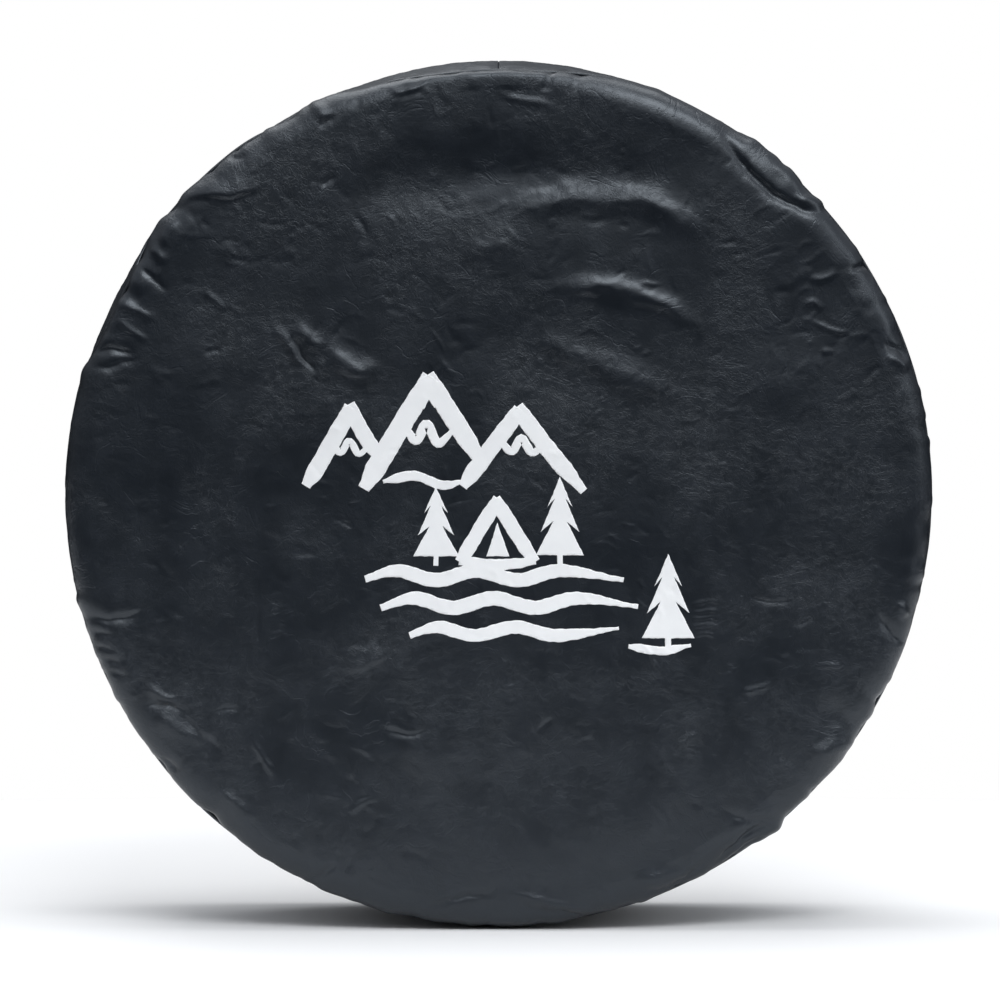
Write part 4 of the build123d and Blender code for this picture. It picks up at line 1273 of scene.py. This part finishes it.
def printed():
    """The print as a thin skin that follows the front's surface."""
    points, edges, start = [], [], 0
    for polygon in PRINT:
        n = len(polygon)
        points += [Vector(p) for p in polygon]
        edges += [(start + i, start + (i + 1) % n) for i in range(n)]
        start += n
    gx, gz = np.meshgrid(np.arange(-166, 166, PRINT_GRID), np.arange(-134, 106, PRINT_GRID))
    gx, gz = gx.ravel(), gz.ravel()
    keep = np.zeros(len(gx), bool)
    for polygon in PRINT:
        keep |= inside(polygon, gx, gz)
    points += [Vector((a, b)) for a, b in zip(gx[keep], gz[keep])]
    verts, _, faces, *_ = delaunay_2d_cdt(points, edges, [], 0, 1e-4, False)
    verts = np.array([tuple(v) for v in verts])
    faces = np.array([f for f in faces if len(f) == 3])
    middle = verts[faces].mean(axis=1)
    good = np.zeros(len(faces), bool)
    for polygon in PRINT:
        good |= inside(polygon, middle[:, 0], middle[:, 1])
    faces = faces[good]
    used, faces = np.unique(faces, return_inverse=True)
    faces = faces.reshape(-1, 3)
    verts = verts[used] * MM
    tree = front_surface()
    out = []
    for x, z in verts:
        hit = tree.ray_cast(Vector((x, -0.3, z)), Vector((0, 1, 0)))[0]
        out.append((x, (hit.y if hit else -FACE_Y - 4 * MM) - INK_LIFT, z))
    a, b, c = (np.array(out)[faces[:, k]] for k in range(3))
    turned = np.cross(b - a, c - a)[:, 1] > 0
    faces[turned] = faces[turned][:, ::-1]
    obj = mesh_object("front_print", np.array(out), [list(map(int, f)) for f in faces], INK_MAT)
    thicken(obj, 0.2 * MM)
    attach(obj, "cover")
    return obj


print_piece = printed()


# ---------------------------------------------------------------- straps, patches and buckle
WEBBING = 1.4 * MM
STRAP_HALF = 12.5 * MM
BUCKLE_Y = STRAP_Y + WEBBING + 1.9 * MM
LOOP = 2.6 * MM


def strap_path(bar_x, side, sewn_x, drop, tail_x, gap):
    """Middle line of a strap in (x, y): along, round its bar and back."""
    low = STRAP_Y + 0.5 * WEBBING
    lie = STRAP_Y + 1.5 * WEBBING + gap
    turn = np.linspace(-0.5, 0.5, 11) * math.pi
    loop = [(bar_x - side * LOOP * math.cos(t), BUCKLE_Y + LOOP * math.sin(t)) for t in turn]
    off = bar_x + side * 1.0 * MM
    steps = np.linspace(0, 1, 9)
    fall = [(off + side * drop * t, BUCKLE_Y + LOOP + (lie - BUCKLE_Y - LOOP) * smooth(t)) for t in steps]
    path = [(sewn_x, low), (bar_x + side * 4 * MM, low)] + loop + fall + [(tail_x, lie)]
    return np.array(path)


# half of the webbing's section: shares of its half width and of its half thickness
WEB_ACROSS = [-1, -0.985, -0.93, -0.5, 0, 0.5, 0.93, 0.985]
WEB_RISE = [0, 0.6, 0.95, 1, 1, 1, 0.95, 0.6]


def ribbon(name, path, pitch=2.0 * MM):
    """Webbing with rounded edges along a path in (x, y)."""
    run = np.concatenate([[0], np.cumsum(np.linalg.norm(np.diff(path, axis=0), axis=1))])
    at = np.unique(np.round(np.concatenate([run[run < run[-1]], np.arange(0, run[-1], pitch), [run[-1]]]), 6))
    line = resampled(path, at)
    along = np.gradient(line, at, axis=0)
    along /= np.linalg.norm(along, axis=1, keepdims=True)
    normal = np.stack([along[:, 1], -along[:, 0]], axis=1)
    z = STRAP_HALF * np.array(WEB_ACROSS + [-share for share in WEB_ACROSS])
    t = 0.5 * WEBBING * np.array(WEB_RISE + [-share for share in WEB_RISE])
    wander = 0.35 * MM * noise(at / 0.05, 0.5, len(name))
    cup = 0.22 * MM * noise(at[:, None] / 0.035, z[None] / 0.02, len(name) + 5)
    off = t[None] + cup * smooth(np.abs(line[:, :1]) / 0.05)
    points = np.stack([
        line[:, :1] + normal[:, :1] * off,
        line[:, 1:] + normal[:, 1:] * off,
        STRAP_Z + z[None] + wander[:, None],
    ], axis=-1)
    obj = mesh_object(name, points.reshape(-1, 3), capped_tube(len(at), len(z)), WEB_MAT)
    recalculated(obj)
    return obj


strap_left = ribbon("strap_left_webbing", strap_path(-0.0324, -1, -0.266, 0.016, -0.095, 0.2 * MM))
on_cover(strap_left, "strap_left")
strap_right = ribbon("strap_right_webbing", strap_path(0.0165, 1, 0.266, 0.0065, 0.165, 0.3 * MM))
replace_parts(strap_right, "strap_right")


def patch(name, side, node):
    """A vinyl patch with rounded corners, under the sewn end of a strap."""
    half_x, half_z, corner, middle = 0.023, 0.025, 0.008, 0.2485 * side
    outline_points = []
    for cx, cz, start in ((1, 1, 0), (-1, 1, 90), (-1, -1, 180), (1, -1, 270)):
        for a in np.radians(np.linspace(start, start + 90, 12)):
            outline_points.append((cx * (half_x - corner) + corner * math.cos(a),
                                   cz * (half_z - corner) + corner * math.sin(a)))
    edge = np.array(outline_points)
    high, low = 0.1157, 0.1142
    rings = [(s, high - 0.0001 * (1 - s)) for s in (0.12, 0.3, 0.5, 0.7, 0.84, 0.93)]
    rings += [(0.975, high - 0.0001), (0.995, high - 0.00035), (1.0, 0.5 * (high + low))]
    rings += [(0.995, low + 0.0002), (0.9, low), (0.5, low), (0.12, low)]
    points = []
    for s, y in rings:
        dent = 0.28 * MM * np.exp(-((s - 0.90) / 0.035) ** 2) if y > 0.115 else 0.0
        wave = 0.10 * MM * noise(edge[:, 0] * s / 0.009, edge[:, 1] * s / 0.009, 140 + side)
        lie = y - dent + wave * (y > 0.115)
        points.append(np.stack([middle + edge[:, 0] * s, lie, STRAP_Z + edge[:, 1] * s], axis=1))
    obj = mesh_object(name, np.concatenate(points), capped_tube(len(rings), len(edge)), PIPING_MAT)
    recalculated(obj)
    loop = np.concatenate([edge, edge[:1]]) * 0.90
    loop = np.stack([middle + loop[:, 0], np.full(len(loop), high - 0.1 * MM), STRAP_Z + loop[:, 1]], axis=1)
    at = spaced(loop, 3.6 * MM)
    stitches(name + "_stitches", at, np.repeat([[0.0, 1.0, 0.0]], len(at), 0), THREAD_MAT, 2.6 * MM)
    return on_cover(obj, node)


patch_left = patch("strap_patch_left_vinyl", -1, "strap_patch_left")
patch_right = patch("strap_patch_right_vinyl", 1, "strap_patch_right")


STITCHED_HALF = 9.5 * MM         # half the width that the rows across a strap cover


def box_rows(side):
    """A box with a cross in it, sewn through the strap's end."""
    x0, x1, z0, z1 = 0.233 * side, 0.262 * side, STRAP_Z - STITCHED_HALF, STRAP_Z + STITCHED_HALF
    y = STRAP_Y + WEBBING + 0.05 * MM
    a, b, c, d = (x0, y, z0), (x1, y, z0), (x1, y, z1), (x0, y, z1)
    return [(np.array(line), (0, 1, 0)) for line in ((a, b), (b, c), (c, d), (d, a), (a, c), (d, b))]


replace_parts(row_stitches("strap_box_stitches", box_rows(-1) + box_rows(1)), "strap_box_thread")


def left_tail_rows():
    """The left strap's turned-back end is sewn down with two short rows."""
    y = STRAP_Y + 2 * WEBBING + 0.35 * MM
    z0, z1 = STRAP_Z - STITCHED_HALF, STRAP_Z + STITCHED_HALF
    return [(np.array([(x, y, z0), (x, y, z1)]), (0, 1, 0)) for x in (-0.0905, -0.0840)]


row_stitches("strap_left_tail_stitches", left_tail_rows(), 3.2 * MM)


def dress(names, material, bevel=None):
    """A procedural material, and eased edges, on CAD nodes whose shape is kept."""
    for name in names:
        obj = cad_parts[name]
        for slot in obj.material_slots:
            slot.link = "OBJECT"
            slot.material = material
        if not obj.material_slots:
            obj.data.materials.append(material)
        if bevel:
            ease = obj.modifiers.new("eased_edges", "BEVEL")
            ease.width, ease.segments, ease.limit_method = bevel, 2, "ANGLE"
            ease.angle_limit = math.radians(40)


MOULDED = ["buckle_insert", "buckle_receptacle", "latch_arm_lower", "latch_arm_upper", "strap_keeper"]
dress(MOULDED, PLASTIC_MAT, 0.25 * MM)
dress(["drain_eyelet_barrels", "drain_eyelet_washers"], METAL_MAT)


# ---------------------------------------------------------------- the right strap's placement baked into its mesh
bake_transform(strap_right)


# ---------------------------------------------------------------- floor, light and camera
FLOOR_Z = cad_box[0][2] - 0.0006


def studio():
    """A pale floor under the cover."""
    m, tree, shader, place = new_material("studio_paper")
    cloud = noise_node(tree, place, 0.8, 2.0, 0.5)
    finish_material(tree, shader, colour_mix(tree, cloud, (0.88, 0.88, 0.88), (0.90, 0.90, 0.90)))
    shader.inputs["Roughness"].default_value = 0.9
    shader.inputs["Specular IOR Level"].default_value = 0.1
    turn = np.linspace(0, 2 * math.pi, 72, endpoint=False)
    rings = [(0.35 * s * np.cos(turn), 0.35 * s * np.sin(turn)) for s in (0.3, 1, 1.6, 2.2, 2.8, 3.4)]
    points = np.array([[(1.5 * x, 0.20 + y * 0.72, FLOOR_Z) for x, y in zip(*ring)] for ring in rings])
    faces = capped_tube(len(rings), len(turn))[:-1]
    floor = mesh_object("studio_floor", points.reshape(-1, 3), faces, m)
    recalculated(floor)


studio()


def sky():
    """Even studio light: bright above, soft in front, dim near the floor."""
    world = bpy.data.worlds.new("studio")
    world.use_nodes = True
    tree = world.node_tree
    place = tree.nodes.new("ShaderNodeTexCoord").outputs["Generated"]
    direction = add(tree, "ShaderNodeSeparateXYZ", {0: place}).outputs
    up, back = direction["Z"], direction["Y"]
    ramp_node = add(tree, "ShaderNodeValToRGB", {"Fac": ramp(tree, up, -1.0, 1.0)})
    stops = ((0.0, 0.03), (0.40, 0.05), (0.50, 0.11), (0.57, 0.20), (0.64, 0.42), (0.76, 0.70), (1.0, 0.90))
    ramp_node.color_ramp.elements[0].position = stops[0][0]
    ramp_node.color_ramp.elements[1].position = stops[-1][0]
    for at, _ in stops[1:-1]:
        ramp_node.color_ramp.elements.new(at)
    for element, (at, level) in zip(ramp_node.color_ramp.elements, stops):
        element.color = (0.955 * level, 0.98 * level, 1.03 * level, 1)
    lit = tree.nodes["Background"]
    tree.links.new(ramp_node.outputs["Color"], lit.inputs["Color"])
    low_behind = math_node(tree, "MULTIPLY", ramp(tree, back, 0.3, 0.8), ramp(tree, up, 0.20, 0.50, 1.0, 0.0))
    dimmed = math_node(tree, "SUBTRACT", 1.0, math_node(tree, "MULTIPLY", low_behind, 0.75))
    strength = math_node(tree, "MULTIPLY", ramp(tree, back, -0.1, 0.5, 0.95, 0.62), dimmed)
    tree.links.new(strength, lit.inputs["Strength"])
    seen = add(tree, "ShaderNodeBackground", {"Color": (1, 1, 1, 1), "Strength": 1.0}).outputs[0]
    direct = tree.nodes.new("ShaderNodeLightPath").outputs["Is Camera Ray"]
    both = add(tree, "ShaderNodeMixShader", {0: direct, 1: lit.outputs[0], 2: seen}).outputs[0]
    tree.links.new(both, tree.nodes["World Output"].inputs["Surface"])
    bpy.context.scene.world = world


def softbox(name, place, target, size, power, tint=(1, 1, 1)):
    light = bpy.data.lights.new(name, "AREA")
    light.shape = "RECTANGLE"
    light.size, light.size_y = size
    light.energy = power
    light.color = tint
    obj = bpy.data.objects.new(name, light)
    obj.location = place
    obj.rotation_euler = (Vector(target) - Vector(place)).to_track_quat("-Z", "Y").to_euler()
    bpy.context.scene.collection.objects.link(obj)


sky()
softbox("key", (0.8, -2.8, 2.9), (0.05, 0, 0.05), (2.8, 1.5), 84, (0.96, 0.98, 1.0))
softbox("side", (3.4, -1.6, 1.2), (0, 0, 0), (1.2, 2.2), 16, (0.94, 0.97, 1.0))
softbox("top", (0, 0.25, 3.2), (0, 0.15, 0), (3.0, 1.8), 56)
softbox("back", (-1.2, 2.4, 3.4), (0, 0, 0), (2.4, 1.6), 32, (0.96, 0.98, 1.0))
softbox("front", (0.4, -5.0, 1.7), (0, 0, 0.3), (3.2, 1.3), 7, (0.95, 0.98, 1.0))

camera_data = bpy.data.cameras.new("camera")
camera_data.lens = 255.0
camera_data.sensor_width = 36.0
camera_data.clip_end = 60.0
camera = bpy.data.objects.new("camera", camera_data)
lift = math.radians(3.0)
camera.location = (0.0012, -6.0 * math.cos(lift), 6.0 * math.sin(lift) - 0.0094)
camera.rotation_euler = (math.radians(90) - lift, 0, 0)
bpy.context.scene.collection.objects.link(camera)
bpy.context.scene.camera = camera
bpy.context.scene.view_settings.view_transform = "Standard"
